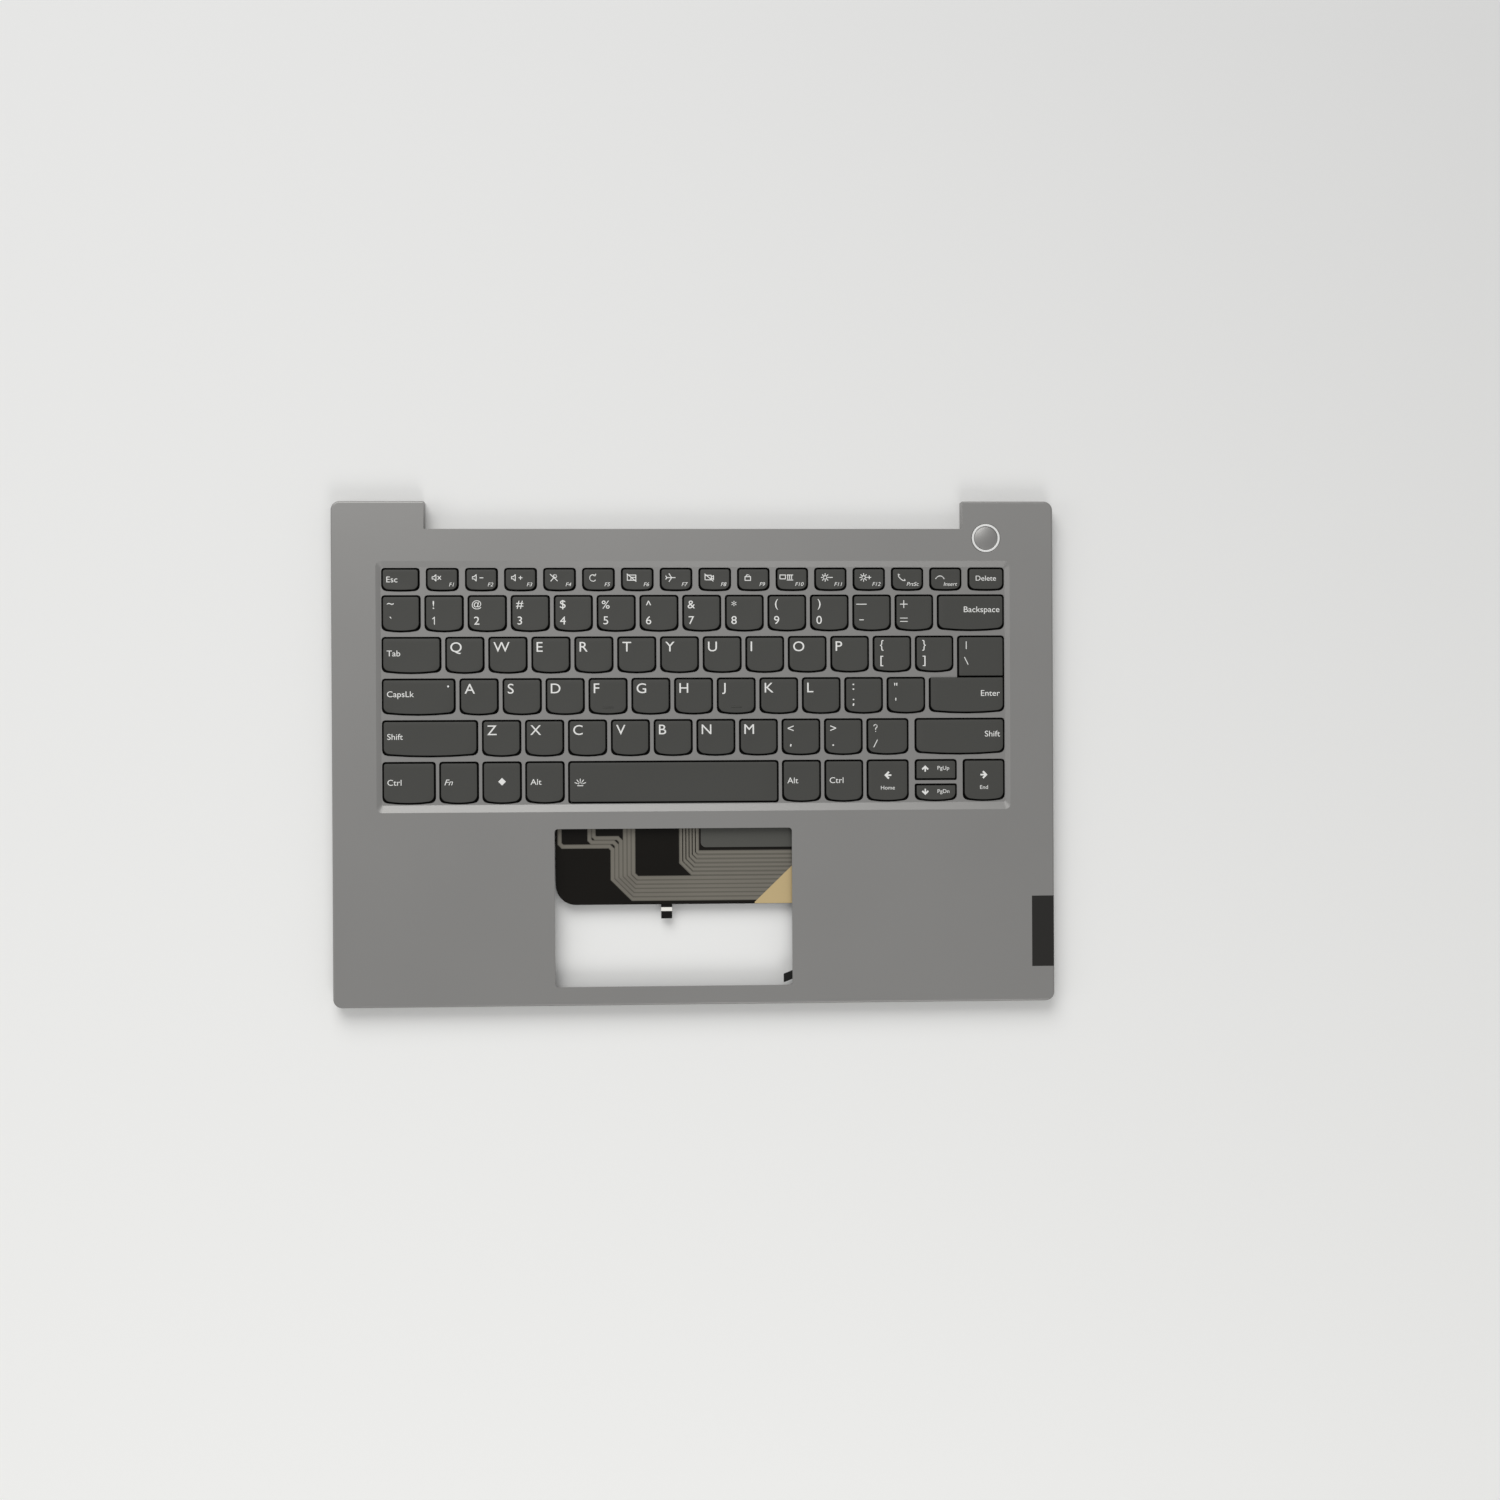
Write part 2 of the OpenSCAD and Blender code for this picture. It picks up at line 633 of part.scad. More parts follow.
// Heights of the button and of the switch below it
z_button = case_h - button_sink;
z_button_flange = ring_z - button_fit - flange_t;
z_stem = z_button_flange - stem_l;
z_switch = z_stem - button_travel - switch_gap;
z_board = z_switch - switch_h;

module frame_plan() {
    side = well_x + deck_t + frame_gap;
    difference() {
        case_plan(wall_t + frame_fit);
        translate([-side, well_y0 - ramp_w - deck_t / 2 - frame_gap])
            square([2 * side, well_d + ramp_w + deck_t + step_w + 2 * frame_gap]);
        translate([pad_x, pad_y])
            rounded_rect(pad_w + 2 * frame_gap, pad_d + 2 * frame_gap, pad_r + frame_gap);
        button_place() circle(ring_flange_r + flange_fit, $fn = 64);
        palm_pockets(pad_boss_x + pad_boss_r + rib_w - pad_x, -1);
        palm_pockets(pad_boss_x + pad_boss_r + rib_w + pad_x, 1);
    }
}

// Pockets that leave a grid of ribs under one palm rest, from the distance x outwards
module palm_pockets(x, side) {
    outer = cover_x - boss_r - pocket_gap;
    y0 = -cover_y + boss_r + pocket_gap;
    y1 = well_y0 - ramp_w - deck_t / 2 - frame_gap - rib_w;
    n = 3;
    w = (outer - x - (n - 1) * rib_w) / n;
    d = (y1 - y0 - (n - 1) * rib_w) / n;
    for (i = [0:n - 1]) {
        for (j = [0:n - 1]) {
            translate([side * (x + w / 2 + i * (w + rib_w)), y0 + d / 2 + j * (d + rib_w)])
                square([w, d], center = true);
        }
    }
}

// Moulded frame on the underside of the deck, with the screw bosses
module inner_frame() {
    insert_top = boss_lift + insert_l + insert_over;
    color([0.13, 0.13, 0.14])
    difference() {
        union() {
            translate([0, 0, z_under - frame_t]) linear_extrude(frame_t) frame_plan();
            for (p = concat(cover_places, hinge_places)) {
                translate([p[0], p[1], boss_lift]) cylinder(h = z_under - boss_lift, r = boss_r, $fn = 48);
            }
            for (p = pad_places) {
                translate([p[0], p[1], z_under - frame_t - pad_boss_h])
                    cylinder(h = frame_t + pad_boss_h, r = pad_boss_r, $fn = 48);
            }
            for (p = board_places) {
                translate([p[0], p[1], z_board + board_t])
                    cylinder(h = z_under - z_board - board_t, r = board_boss_r, $fn = 48);
            }
        }
        for (p = concat(cover_places, hinge_places)) {
            translate([p[0], p[1], boss_lift - eps])
                cylinder(h = insert_top - boss_lift, r = insert_r + insert_fit, $fn = 48);
        }
        for (p = pad_places) {
            translate([p[0], p[1], z_under - frame_t - pad_boss_h - eps])
                cylinder(h = pad_hole_l, r = thread_r, $fn = 48);
        }
    }
}

module threaded_inserts() {
    color([0.78, 0.62, 0.32])
    for (p = concat(cover_places, hinge_places)) {
        translate([p[0], p[1], boss_lift])
        difference() {
            cylinder(h = insert_l, r = insert_r, $fn = 48);
            translate([0, 0, -eps]) cylinder(h = insert_l + 2 * eps, r = thread_r, $fn = 48);
        }
    }
}

// Steps between the layers under the keys, and play of the tabs in the membrane
layer_step = 0.3;
tab_fit = 0.1;

// Plan of the flat layers under the keys
module layer_plan(d) {
    translate([-layer_x + d, layer_y0 + d]) square([2 * (layer_x - d), layer_y1 - layer_y0 - 2 * d]);
}

// Stakes stand where two keys of a row meet the row in front of them
function row_stakes(keys, y) =
    [for (i = [1:2:len(keys) - 1]) [keys[i][LEFT] - (keys[i][LEFT] - keys[i - 1][RIGHT]) / 2, y]];
stake_places = concat(
    row_stakes(function_keys, number_y1 + function_web / 2),
    row_stakes(number_keys, upper_y1 + row_web / 2),
    row_stakes(upper_keys, home_y1 + row_web / 2),
    row_stakes(home_keys, lower_y1 + row_web / 2),
    row_stakes([for (i = [0:9]) lower_keys[i]], front_y1 + row_web / 2));

module stake_holes() {
    for (p = stake_places) {
        translate(p) circle(stake_r + stake_gap, $fn = 24);
    }
}

// Size of the scissor under a key: length, width, bar, dome radius and turn
function room_y(k) = span_y(k) - k[BULGE] - 2 * (key_gap + cap_wall + 2 * link_gap);
function link_len(k) = is_half(k) ? link_l : min(link_l, room_y(k) - 2 * tab_t);
function link_wide(k) = is_half(k) ? room_y(k) : link_w;
function link_bar_of(k) = is_half(k) ? half_bar : link_bar;
function tab_wide(k) = link_wide(k) / 2;
function inner_wide(k) = link_wide(k) - 2 * link_bar_of(k) - 2 * link_gap;
function dome_foot(k) = min(dome_r, inner_wide(k) / 2 - link_bar_of(k) - link_gap);
function link_turn(k) = is_half(k) ? 90 : 0;
function link_y(k) = mid_y(k) + k[BULGE] / 2;
link_rise = z_ceiling - z_membrane - 2 * link_gap - link_t;

module at_key(k) {
    translate([mid_x(k), link_y(k)]) rotate(link_turn(k)) children();
}

// Upright tabs of the base plate that hold the feet of a scissor
module tab_plan(k, grow) {
    at_key(k) {
        for (s = [-1, 1]) {
            translate([0, s * (link_len(k) / 2 + link_gap + tab_t / 2)])
                square([tab_wide(k) + 2 * grow, tab_t + 2 * grow], center = true);
        }
    }
}

module key_base_plate() {
    color([0.62, 0.63, 0.65])
    union() {
        translate([0, 0, z_light]) linear_extrude(plate_t)
        difference() {
            layer_plan(0);
            stake_holes();
            for (k = all_keys) {
                at_key(k) square([tab_wide(k), link_len(k) / 3], center = true);
            }
        }
        translate([0, 0, z_light + plate_t / 2]) linear_extrude(plate_t / 2 + membrane_t + tab_h)
        for (k = all_keys) {
            tab_plan(k, 0);
        }
    }
}

// Corner of the tail of the membrane, cut as a quarter circle
module tail_plan() {
    translate([tail_x, tail_y + tail_r]) square([tail_w, tail_l - tail_r + 1]);
    translate([tail_x + tail_r, tail_y]) square([tail_w - tail_r, tail_r + 1]);
    translate([tail_x + tail_r, tail_y + tail_r]) circle(tail_r, $fn = 64);
}

module key_membrane() {
    color([0.10, 0.10, 0.11])
    translate([0, 0, z_plate]) linear_extrude(membrane_t)
    difference() {
        union() {
            layer_plan(layer_step);
            tail_plan();
        }
        stake_holes();
        for (k = all_keys) {
            tab_plan(k, tab_fit);
        }
    }
}

module light_guide() {
    color([0.86, 0.87, 0.88])
    translate([0, 0, z_bottom]) linear_extrude(light_t)
    difference() {
        layer_plan(layer_step);
        stake_holes();
    }
}

// Narrow flat cable of the light guide, ending in front of the membrane tail
module light_guide_tail() {
    color([0.08, 0.08, 0.08])
    translate([pad_x - light_tail_off - light_tail_w / 2, tail_y - light_tail_l, z_bottom])
        cube([light_tail_w, layer_y0 + layer_step - tail_y + light_tail_l, light_t]);
}

// Rubber dome: a foot, a sloped wall and a flat head that carries the keycap
module rubber_domes() {
    foot_t = 0.3;
    lip_t = 0.1;
    color([0.80, 0.80, 0.78])
    for (k = all_keys) {
        r = dome_foot(k);
        head = z_ceiling - link_gap - z_membrane;
        top_r = r * 0.62;
        translate([mid_x(k), link_y(k), z_membrane])
        rotate_extrude($fn = 24)
            polygon([[r - dome_t, 0], [r, 0], [r, foot_t], [top_r, head * 0.7], [top_r, head], [0, head],
                     [0, head - dome_head_t], [top_r - dome_t, head - dome_head_t],
                     [top_r - dome_t, head * 0.7 - dome_t], [r - dome_t - lip_t, foot_t]]);
    }
}

// One link of a scissor: a flat frame, tilted about its middle
module link(l, w, bar, side) {
    tilt = asin(link_rise / l);
    rotate([side * tilt, 0, 0])
    translate([0, 0, -link_t / 2])
    linear_extrude(link_t)
    difference() {
        square([w, l * cos(tilt)], center = true);
        square([w - 2 * bar, l * cos(tilt) - 2 * bar], center = true);
    }
}

module links(outer) {
    for (k = all_keys) {
        at_key(k) translate([0, 0, (z_ceiling + z_membrane) / 2])
            link(link_len(k), outer ? link_wide(k) : inner_wide(k), link_bar_of(k), outer ? 1 : -1);
    }
}

module outer_links() {
    color([0.93, 0.93, 0.92]) links(true);
}

module inner_links() {
    color([0.88, 0.88, 0.87]) links(false);
}

// Wires that keep the wide keys level
wire_keys = [for (k = all_keys) if (span_x(k) > 1.5 * key_pitch) k];
module stabiliser_wires() {
    color([0.75, 0.76, 0.78])
    for (k = wire_keys) {
        half = span_x(k) / 2 - wire_end;
        translate([mid_x(k), k[FRONT] + k[BULGE] + key_gap + cap_wall + link_gap + wire_r,
                   z_membrane + wire_r + link_gap])
        union() {
            translate([-half, 0, 0]) rotate([0, 90, 0]) cylinder(h = 2 * half, r = wire_r, $fn = 16);
            for (s = [-1, 1]) {
                translate([s * (half - wire_r), 0, 0]) rotate([-90, 0, 0])
                    cylinder(h = wire_arm, r = wire_r, $fn = 16);
            }
        }
    }
}

module plate_stakes() {
    color([0.15, 0.15, 0.16])
    for (p = stake_places) {
        translate([p[0], p[1], z_bottom - stake_head_t]) union() {
            cylinder(h = z_web_under - z_bottom + stake_head_t, r = stake_r, $fn = 24);
            cylinder(h = stake_head_t, r = stake_head_r, $fn = 24);
        }
    }
}

// A keycap: skirt, bevelled top and a hollow that takes the scissor
module keycap(k) {
    foot = key_gap;
    shoulder = key_gap + cap_draft;
    rim = shoulder + cap_bevel_w;
    difference() {
        loft([key_outline(k, foot), key_outline(k, shoulder), key_outline(k, rim)],
             [z_skirt, z_cap - cap_bevel_h, z_cap]);
        translate([0, 0, z_skirt - eps]) linear_extrude(z_ceiling - z_skirt + eps)
            polygon(key_outline(k, key_gap + cap_wall));
    }
}

module sprung_key(name) {
    color([0.27, 0.27, 0.27]) keycap(find_key(name));
}

module fixed_key_caps() {
    color([0.27, 0.27, 0.27])
    for (k = fixed_keys) {
        keycap(k);
    }
}

module power_button_ring() {
    bore = button_r + ring_gap;
    edge = 0.15;
    color([0.86, 0.86, 0.86])
    button_place() rotate_extrude($fn = 96)
        polygon([[bore, ring_z], [ring_flange_r, ring_z], [ring_flange_r, z_under], [ring_r, z_under],
                 [ring_r, case_h], [ring_r - edge, case_h + ring_stand], [bore + edge, case_h + ring_stand],
                 [bore, case_h]]);
}

// Round button with a dished top, a flange behind the ring and a stem over the switch
module power_button() {
    dish = 0.15;
    edge = 0.2;
    steps = 6;
    top_r = button_r - edge;
    flange_r = button_r + button_flange_w;
    color([0.60, 0.59, 0.58])
    button_place() rotate_extrude($fn = 96)
        polygon(concat(
            [[0, z_stem], [stem_r, z_stem], [stem_r, z_button_flange], [flange_r, z_button_flange],
             [flange_r, z_button_flange + flange_t], [button_r, z_button_flange + flange_t],
             [button_r, z_button - edge], [top_r, z_button]],
            [for (i = [1:steps]) let (r = top_r * (1 - i / steps))
                [r, z_button - dish * (1 - pow(r / top_r, 2))]]));
}

module power_switch_board() {
    color([0.10, 0.30, 0.18])
    union() {
        translate([board_x1 - board_w, button_y - board_d / 2, z_board]) cube([board_w, board_d, board_t]);
        translate([button_x - switch_w / 2, button_y - switch_w / 2, z_board])
            cube([switch_w, switch_w, switch_h - plunger_h]);
        translate([button_x, button_y, z_board]) cylinder(h = switch_h, r = plunger_r, $fn = 32);
    }
}

// Bare plate let into the deck at the right edge, following the rounded edge
module name_plate() {
    color([0.13, 0.13, 0.13])
    intersection() {
        case_block();
        badge_space(0);
    }
}

// Grey strip over the rear right part of the membrane tail
module cable_cover_strip() {
    x0 = pad_x + strip_off;
    r = strip_r;
    y0 = layer_y0 - strip_l;
    w = tail_x + tail_w - x0;
    color([0.30, 0.30, 0.31])
    translate([0, 0, z_membrane]) linear_extrude(strip_t) union() {
        translate([x0, y0 + r]) square([w, strip_l - r + layer_step]);
        translate([x0 + r, y0]) square([w - r, strip_l]);
        translate([x0 + r, y0 + r]) circle(r, $fn = 32);
    }
}

// Tape across the front right corner of the tail, with a slanted left edge
module cable_tape() {
    x1 = pad_x + pad_w / 2 + tape_over;
    y0 = tail_y + tape_edge;
    color([0.78, 0.70, 0.55])
    translate([0, 0, z_membrane]) linear_extrude(tape_t)
        polygon([[x1 - tape_w, y0], [x1, y0], [x1, y0 + tape_l], [x1 - tape_w, y0 + tape_foot]]);
}

// Foam under the deck, just showing at the front right corner of the opening
module foam_pad() {
    x0 = pad_x + pad_w / 2 - foam_show;
    y0 = pad_y - pad_d / 2 + foam_front;
    color([0.11, 0.11, 0.11])
    translate([0, 0, z_under - foam_t]) linear_extrude(foam_t)
        polygon([[x0, y0], [x0 + foam_w, y0 + foam_slant], [x0 + foam_w, y0 + foam_slant + foam_l],
                 [x0, y0 + foam_l]]);
}

top_case();
inner_frame();
threaded_inserts();
key_base_plate();
key_membrane();
light_guide();
light_guide_tail();
rubber_domes();
outer_links();
inner_links();
stabiliser_wires();
plate_stakes();
fixed_key_caps();  // fixed_keys
power_button();
power_button_ring();
power_switch_board();
name_plate();
cable_cover_strip();
cable_tape();
foam_pad();
for (name = sprung) {
    sprung_key(name);
}
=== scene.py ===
import math

import bmesh
import bpy
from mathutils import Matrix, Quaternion, Vector
from mathutils.bvhtree import BVHTree


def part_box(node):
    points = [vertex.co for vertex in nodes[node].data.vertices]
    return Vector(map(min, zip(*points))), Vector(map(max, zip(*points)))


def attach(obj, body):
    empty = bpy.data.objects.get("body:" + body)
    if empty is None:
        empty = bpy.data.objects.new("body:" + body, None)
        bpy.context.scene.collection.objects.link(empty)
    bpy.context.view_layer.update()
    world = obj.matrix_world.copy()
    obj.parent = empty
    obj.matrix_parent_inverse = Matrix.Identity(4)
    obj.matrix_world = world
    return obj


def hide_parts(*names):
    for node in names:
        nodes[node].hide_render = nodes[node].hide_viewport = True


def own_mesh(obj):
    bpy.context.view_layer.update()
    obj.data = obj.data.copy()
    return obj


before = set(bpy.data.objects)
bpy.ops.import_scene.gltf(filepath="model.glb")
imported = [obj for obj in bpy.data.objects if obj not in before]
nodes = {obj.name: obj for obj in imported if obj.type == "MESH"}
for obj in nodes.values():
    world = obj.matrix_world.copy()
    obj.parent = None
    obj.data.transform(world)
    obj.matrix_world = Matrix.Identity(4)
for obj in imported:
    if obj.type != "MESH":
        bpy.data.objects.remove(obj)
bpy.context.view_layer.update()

# The laptop's upper case lies keys up. Lengths below are millimetres until a mesh is finished.
mm = 0.001
tiny = 0.0001            # points nearer than this are level


# Small helpers

def srgb(r, g, b):
    # linear colour of an 8-bit screen colour
    return tuple(((c / 255 + 0.055) / 1.055) ** 2.4 if c > 10 else c / 255 / 12.92 for c in (r, g, b)) + (1,)


def boxOf(name):
    low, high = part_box(name)
    return low / mm, high / mm


def link(obj):
    bpy.context.scene.collection.objects.link(obj)
    return obj


mergeDistance = 0.0005       # points of one mesh nearer than this become one


def finishPiece(bm, name, materials, smoothAngle=35, doubles=mergeDistance, recalc=True):
    # turns a bmesh in millimetres into a piece in metres at the origin
    if doubles:
        bmesh.ops.remove_doubles(bm, verts=bm.verts, dist=doubles)
    if recalc:
        bmesh.ops.recalc_face_normals(bm, faces=bm.faces)
    bmesh.ops.scale(bm, vec=(mm, mm, mm), verts=bm.verts)
    mesh = bpy.data.meshes.new(name)
    bm.to_mesh(mesh)
    bm.free()
    for material in materials:
        mesh.materials.append(material)
    mesh.shade_smooth()
    mesh.set_sharp_from_angle(angle=math.radians(smoothAngle))
    return link(bpy.data.objects.new(name, mesh))


def shown(obj, body, slot, *replaced):
    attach(obj, body)
    if replaced:
        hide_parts(*replaced)
    return obj


def looseParts(bm):
    # the connected parts of a mesh, each as a list of its faces
    seen, parts = set(), []
    for start in bm.faces:
        if start in seen:
            continue
        seen.add(start)
        part, stack = [], [start]
        while stack:
            face = stack.pop()
            part.append(face)
            for edge in face.edges:
                for other in edge.link_faces:
                    if other not in seen:
                        seen.add(other)
                        stack.append(other)
        parts.append(part)
    return parts


def cadCopy(name):
    # a merged copy of a node of the frame, in millimetres
    bm = bmesh.new()
    bm.from_mesh(nodes[name].data)
    bmesh.ops.scale(bm, vec=(1 / mm, 1 / mm, 1 / mm), verts=bm.verts)
    bmesh.ops.remove_doubles(bm, verts=bm.verts, dist=mergeDistance)
    return bm


def dissolveFlat(bm):
    # the triangles of one flat face become one face again
    bmesh.ops.dissolve_limit(bm, angle_limit=math.radians(0.5), use_dissolve_boundaries=False,
                             verts=bm.verts, edges=bm.edges)


def corners(faces):
    points = [v.co for face in faces for v in face.verts]
    low = Vector([min(p[i] for p in points) for i in range(3)])
    high = Vector([max(p[i] for p in points) for i in range(3)])
    return low, high


# Materials

class NodeTree:
    # short way to build a node material
    def __init__(self, name):
        self.material = bpy.data.materials.new(name)
        self.material.use_nodes = True
        self.tree = self.material.node_tree
        self.shader = self.tree.nodes["Principled BSDF"]
        self.place = self.tree.nodes.new("ShaderNodeTexCoord").outputs["Object"]

    def add(self, kind):
        return self.tree.nodes.new("ShaderNode" + kind)

    def join(self, start, end):
        self.tree.links.new(start, end)

    def noise(self, scale, detail=3.0, rough=0.5, stretch=None):
        texture = self.add("TexNoise")
        texture.inputs["Scale"].default_value = scale
        texture.inputs["Detail"].default_value = detail
        texture.inputs["Roughness"].default_value = rough
        start = self.place
        if stretch:
            mapping = self.add("Mapping")
            mapping.inputs["Scale"].default_value = stretch
            self.join(self.place, mapping.inputs["Vector"])
            start = mapping.outputs["Vector"]
        self.join(start, texture.inputs["Vector"])
        return texture.outputs["Fac"]

    def between(self, factor, low, high, start=0.3, end=0.7):
        ramp = self.add("ValToRGB")
        ramp.color_ramp.elements[0].position = start
        ramp.color_ramp.elements[0].color = low
        ramp.color_ramp.elements[1].position = end
        ramp.color_ramp.elements[1].color = high
        self.join(factor, ramp.inputs["Fac"])
        return ramp.outputs["Color"]

    def spread(self, factor, low, high):
        ranged = self.add("MapRange")
        ranged.inputs["To Min"].default_value = low
        ranged.inputs["To Max"].default_value = high
        self.join(factor, ranged.inputs["Value"])
        return ranged.outputs["Result"]

    def bump(self, height, strength, distance):
        bump = self.add("Bump")
        bump.inputs["Strength"].default_value = strength
        bump.inputs["Distance"].default_value = distance
        self.join(height, bump.inputs["Height"])
        self.join(bump.outputs["Normal"], self.shader.inputs["Normal"])


driftScale = 14.0       # size of the slow drift of colour, in patches to the metre


def shade(color, factor):
    return tuple(min(1, c * factor) for c in color[:3]) + (1,)


def finish(name, color, metallic=0.0, rough=0.5, vary=0.06, grain=900.0, grainRough=0.08,
           bump=0.15, bumpSize=0.00002, coat=0.0, gloss=0.5, stretch=None):
    # one surface: a slow drift of colour, a fine grain in gloss and height
    tree = NodeTree(name)
    slow = tree.noise(driftScale, 2.0, stretch=stretch)
    tint = tree.between(slow, shade(color, 1 - vary), shade(color, 1 + vary))
    tree.join(tint, tree.shader.inputs["Base Color"])
    fine = tree.noise(grain, 3.0, 0.6, stretch=stretch)
    tree.join(tree.spread(fine, rough - grainRough, rough + grainRough), tree.shader.inputs["Roughness"])
    tree.bump(fine, bump, bumpSize)
    tree.shader.inputs["Metallic"].default_value = metallic
    tree.shader.inputs["Specular IOR Level"].default_value = gloss
    tree.shader.inputs["Coat Weight"].default_value = coat
    return tree.material


deckPaint = finish("deck_satin_metal", srgb(142, 141, 139), metallic=0.5, rough=0.4, vary=0.02,
                   grain=2600.0, grainRough=0.05, bump=0.2, bumpSize=0.000012)
keyPlastic = finish("key_dark_plastic", srgb(64, 64, 61), rough=0.5, vary=0.03, grain=3200.0,
                    bump=0.25, bumpSize=0.00001, gloss=0.3)
# painted shade: the sides and hollow of each cap are near-black, standing in for the shade in the gap round
# the cap; the cap itself is one plastic
keySidePaintedShade = finish("key_side_painted_shade", srgb(16, 16, 15), rough=0.6, vary=0.05, gloss=0.15)
legendPaint = finish("key_legend_paint", srgb(222, 222, 219), rough=0.55, vary=0.02, gloss=0.3)
ringMetal = finish("ring_bright_metal", srgb(228, 228, 226), metallic=0.4, rough=0.5, grainRough=0.04,
                   bump=0.05)
buttonMetal = finish("button_satin_metal", srgb(160, 159, 157), metallic=0.9, rough=0.4, vary=0.03,
                     grain=1800.0, bump=0.08, stretch=(1, 12, 1))
filmBlack = finish("membrane_black_film", srgb(20, 18, 15), rough=0.35, vary=0.15, bump=0.08, gloss=0.12)
silverInk = finish("membrane_silver_ink", srgb(118, 114, 105), metallic=0.3, rough=0.42, vary=0.06,
                   grain=1500.0, bump=0.2, bumpSize=0.00002, gloss=0.3)
silverShade = finish("membrane_silver_base", srgb(98, 95, 87), metallic=0.3, rough=0.45, vary=0.06,
                     grain=1500.0, bump=0.2, bumpSize=0.00002, gloss=0.3)
stripGrey = finish("strip_grey_film", srgb(76, 76, 72), rough=0.4, vary=0.05, gloss=0.25)
tapeBeige = finish("tape_beige_paper", srgb(186, 165, 122), rough=0.6, vary=0.09,
                   bump=0.35, bumpSize=0.00004, gloss=0.3)
foamBlack = finish("foam_black", srgb(30, 30, 29), rough=0.9, vary=0.2, grain=1100.0,
                   bump=0.8, bumpSize=0.0002, gloss=0.1)
plateBlack = finish("name_plate_black", srgb(36, 35, 33), rough=0.4, vary=0.05, gloss=0.25)
frameBlack = finish("frame_moulded_plastic", srgb(44, 44, 46), rough=0.6, vary=0.08,
                    bump=0.3, bumpSize=0.00004, gloss=0.3)
insertBrass = finish("insert_brass", srgb(196, 160, 92), metallic=1.0, rough=0.3, vary=0.06)
plateSteel = finish("base_plate_steel", srgb(160, 161, 163), metallic=0.9, rough=0.35, vary=0.05,
                    grain=500.0, bump=0.15, stretch=(1, 30, 1))
guideFilm = finish("light_guide_film", srgb(224, 226, 227), rough=0.25, vary=0.03, coat=0.3)
tailFilm = finish("light_tail_film", srgb(18, 17, 16), rough=0.35, vary=0.1, gloss=0.15)
tailWhite = finish("light_tail_white", srgb(232, 230, 224), rough=0.5, vary=0.02)
domeRubber = finish("dome_silicone", srgb(120, 120, 117), rough=0.45, vary=0.05)
linkPlastic = finish("link_acetal", srgb(150, 150, 147), rough=0.4, vary=0.03)
wireSteel = finish("wire_bright_steel", srgb(190, 191, 194), metallic=1.0, rough=0.25)
boardGreen = finish("switch_board_laminate", srgb(40, 84, 58), rough=0.4, vary=0.1, coat=0.3)
ledWhite = finish("caps_lamp", srgb(235, 236, 235), rough=0.3)
print("materials made")


# Keycaps

keyRows = [
    ["esc", "f1", "f2", "f3", "f4", "f5", "f6", "f7", "f8", "f9", "f10", "f11", "f12",
     "print", "insert", "delete"],
    ["grave", "1", "2", "3", "4", "5", "6", "7", "8", "9", "0", "minus", "equals", "backspace"],
    ["tab", "q", "w", "e", "r", "t", "y", "u", "i", "o", "p", "left_bracket", "right_bracket", "backslash"],
    ["caps", "a", "s", "d", "f", "g", "h", "j", "k", "l", "semicolon", "quote", "enter"],
    ["left_shift", "z", "x", "c", "v", "b", "n", "m", "comma", "period", "slash", "right_shift"],
    ["left_ctrl", "fn", "system", "left_alt", "space", "right_alt", "right_ctrl", "left", "up", "right"],
    ["down"],
]
capShape = {
    "bulge": 0.95, "functionBulge": 0.35,     # how far the front edge curves out
    "shrink": 0.28, "joinGap": 0.3,           # room round a cap, and between two close neighbours
    "rearRadius": 1.0, "frontRadius": 2.3,    # corners of the cap itself
    "joinRadius": 0.4,                        # corners beside a close neighbour
    "wall": 0.5, "topThickness": 0.9,         # the hollow clears the wires and links
    "edgeRound": 0.22, "draft": 0.3,
    "dishRings": 4, "dishDepth": 0.02,        # each ring sinks by this much
    "cornerSteps": 6, "edgeSteps": 4, "bulgeCuts": 9,
}
straightFront = ("space", "backslash", "up")
joinedRear = ("enter", "down")
joinedFront = ("backslash", "up")
rowStep = 4.0       # keys whose rear edges lie nearer than this are in one row


def keyBoxes():
    # the box of each cap: its own node, or its part of the shared node
    notCaps = ("key_base_plate", "key_membrane")
    own = {name[4:]: boxOf(name) for name in nodes if name.startswith("key_") and name not in notCaps}
    shared = cadCopy("fixed_keys")
    loose = [corners(part) for part in looseParts(shared)]
    shared.free()
    everyBox = [(box, name) for name, box in own.items()] + [(box, None) for box in loose]
    everyBox.sort(key=lambda item: -item[0][1].y)
    rows = [[everyBox[0]]]
    for item in everyBox[1:]:
        if rows[-1][0][0][1].y - item[0][1].y < rowStep:
            rows[-1].append(item)
        else:
            rows.append([item])
    found = {}
    for names, row in zip(keyRows, rows):
        row.sort(key=lambda item: item[0][0].x)
        for name, (box, known) in zip(names, row):
            assert known in (None, name), (known, name)
            found[name] = box
    return found


def ringIn(bm, face, shares, rise):
    # a smaller copy of a face inside it or above it, joined by a ring of faces
    middle = face.calc_center_median()
    grown = bmesh.ops.extrude_face_region(bm, geom=[face])["geom"]
    verts = [g for g in grown if isinstance(g, bmesh.types.BMVert)]
    inner = [g for g in grown if isinstance(g, bmesh.types.BMFace)][0]
    for v in verts:
        v.co.x = middle.x + (v.co.x - middle.x) * shares[0]
        v.co.y = middle.y + (v.co.y - middle.y) * shares[1]
        v.co.z += rise
    if face.is_valid:
        bmesh.ops.delete(bm, geom=[face], context="FACES_ONLY")
    return inner


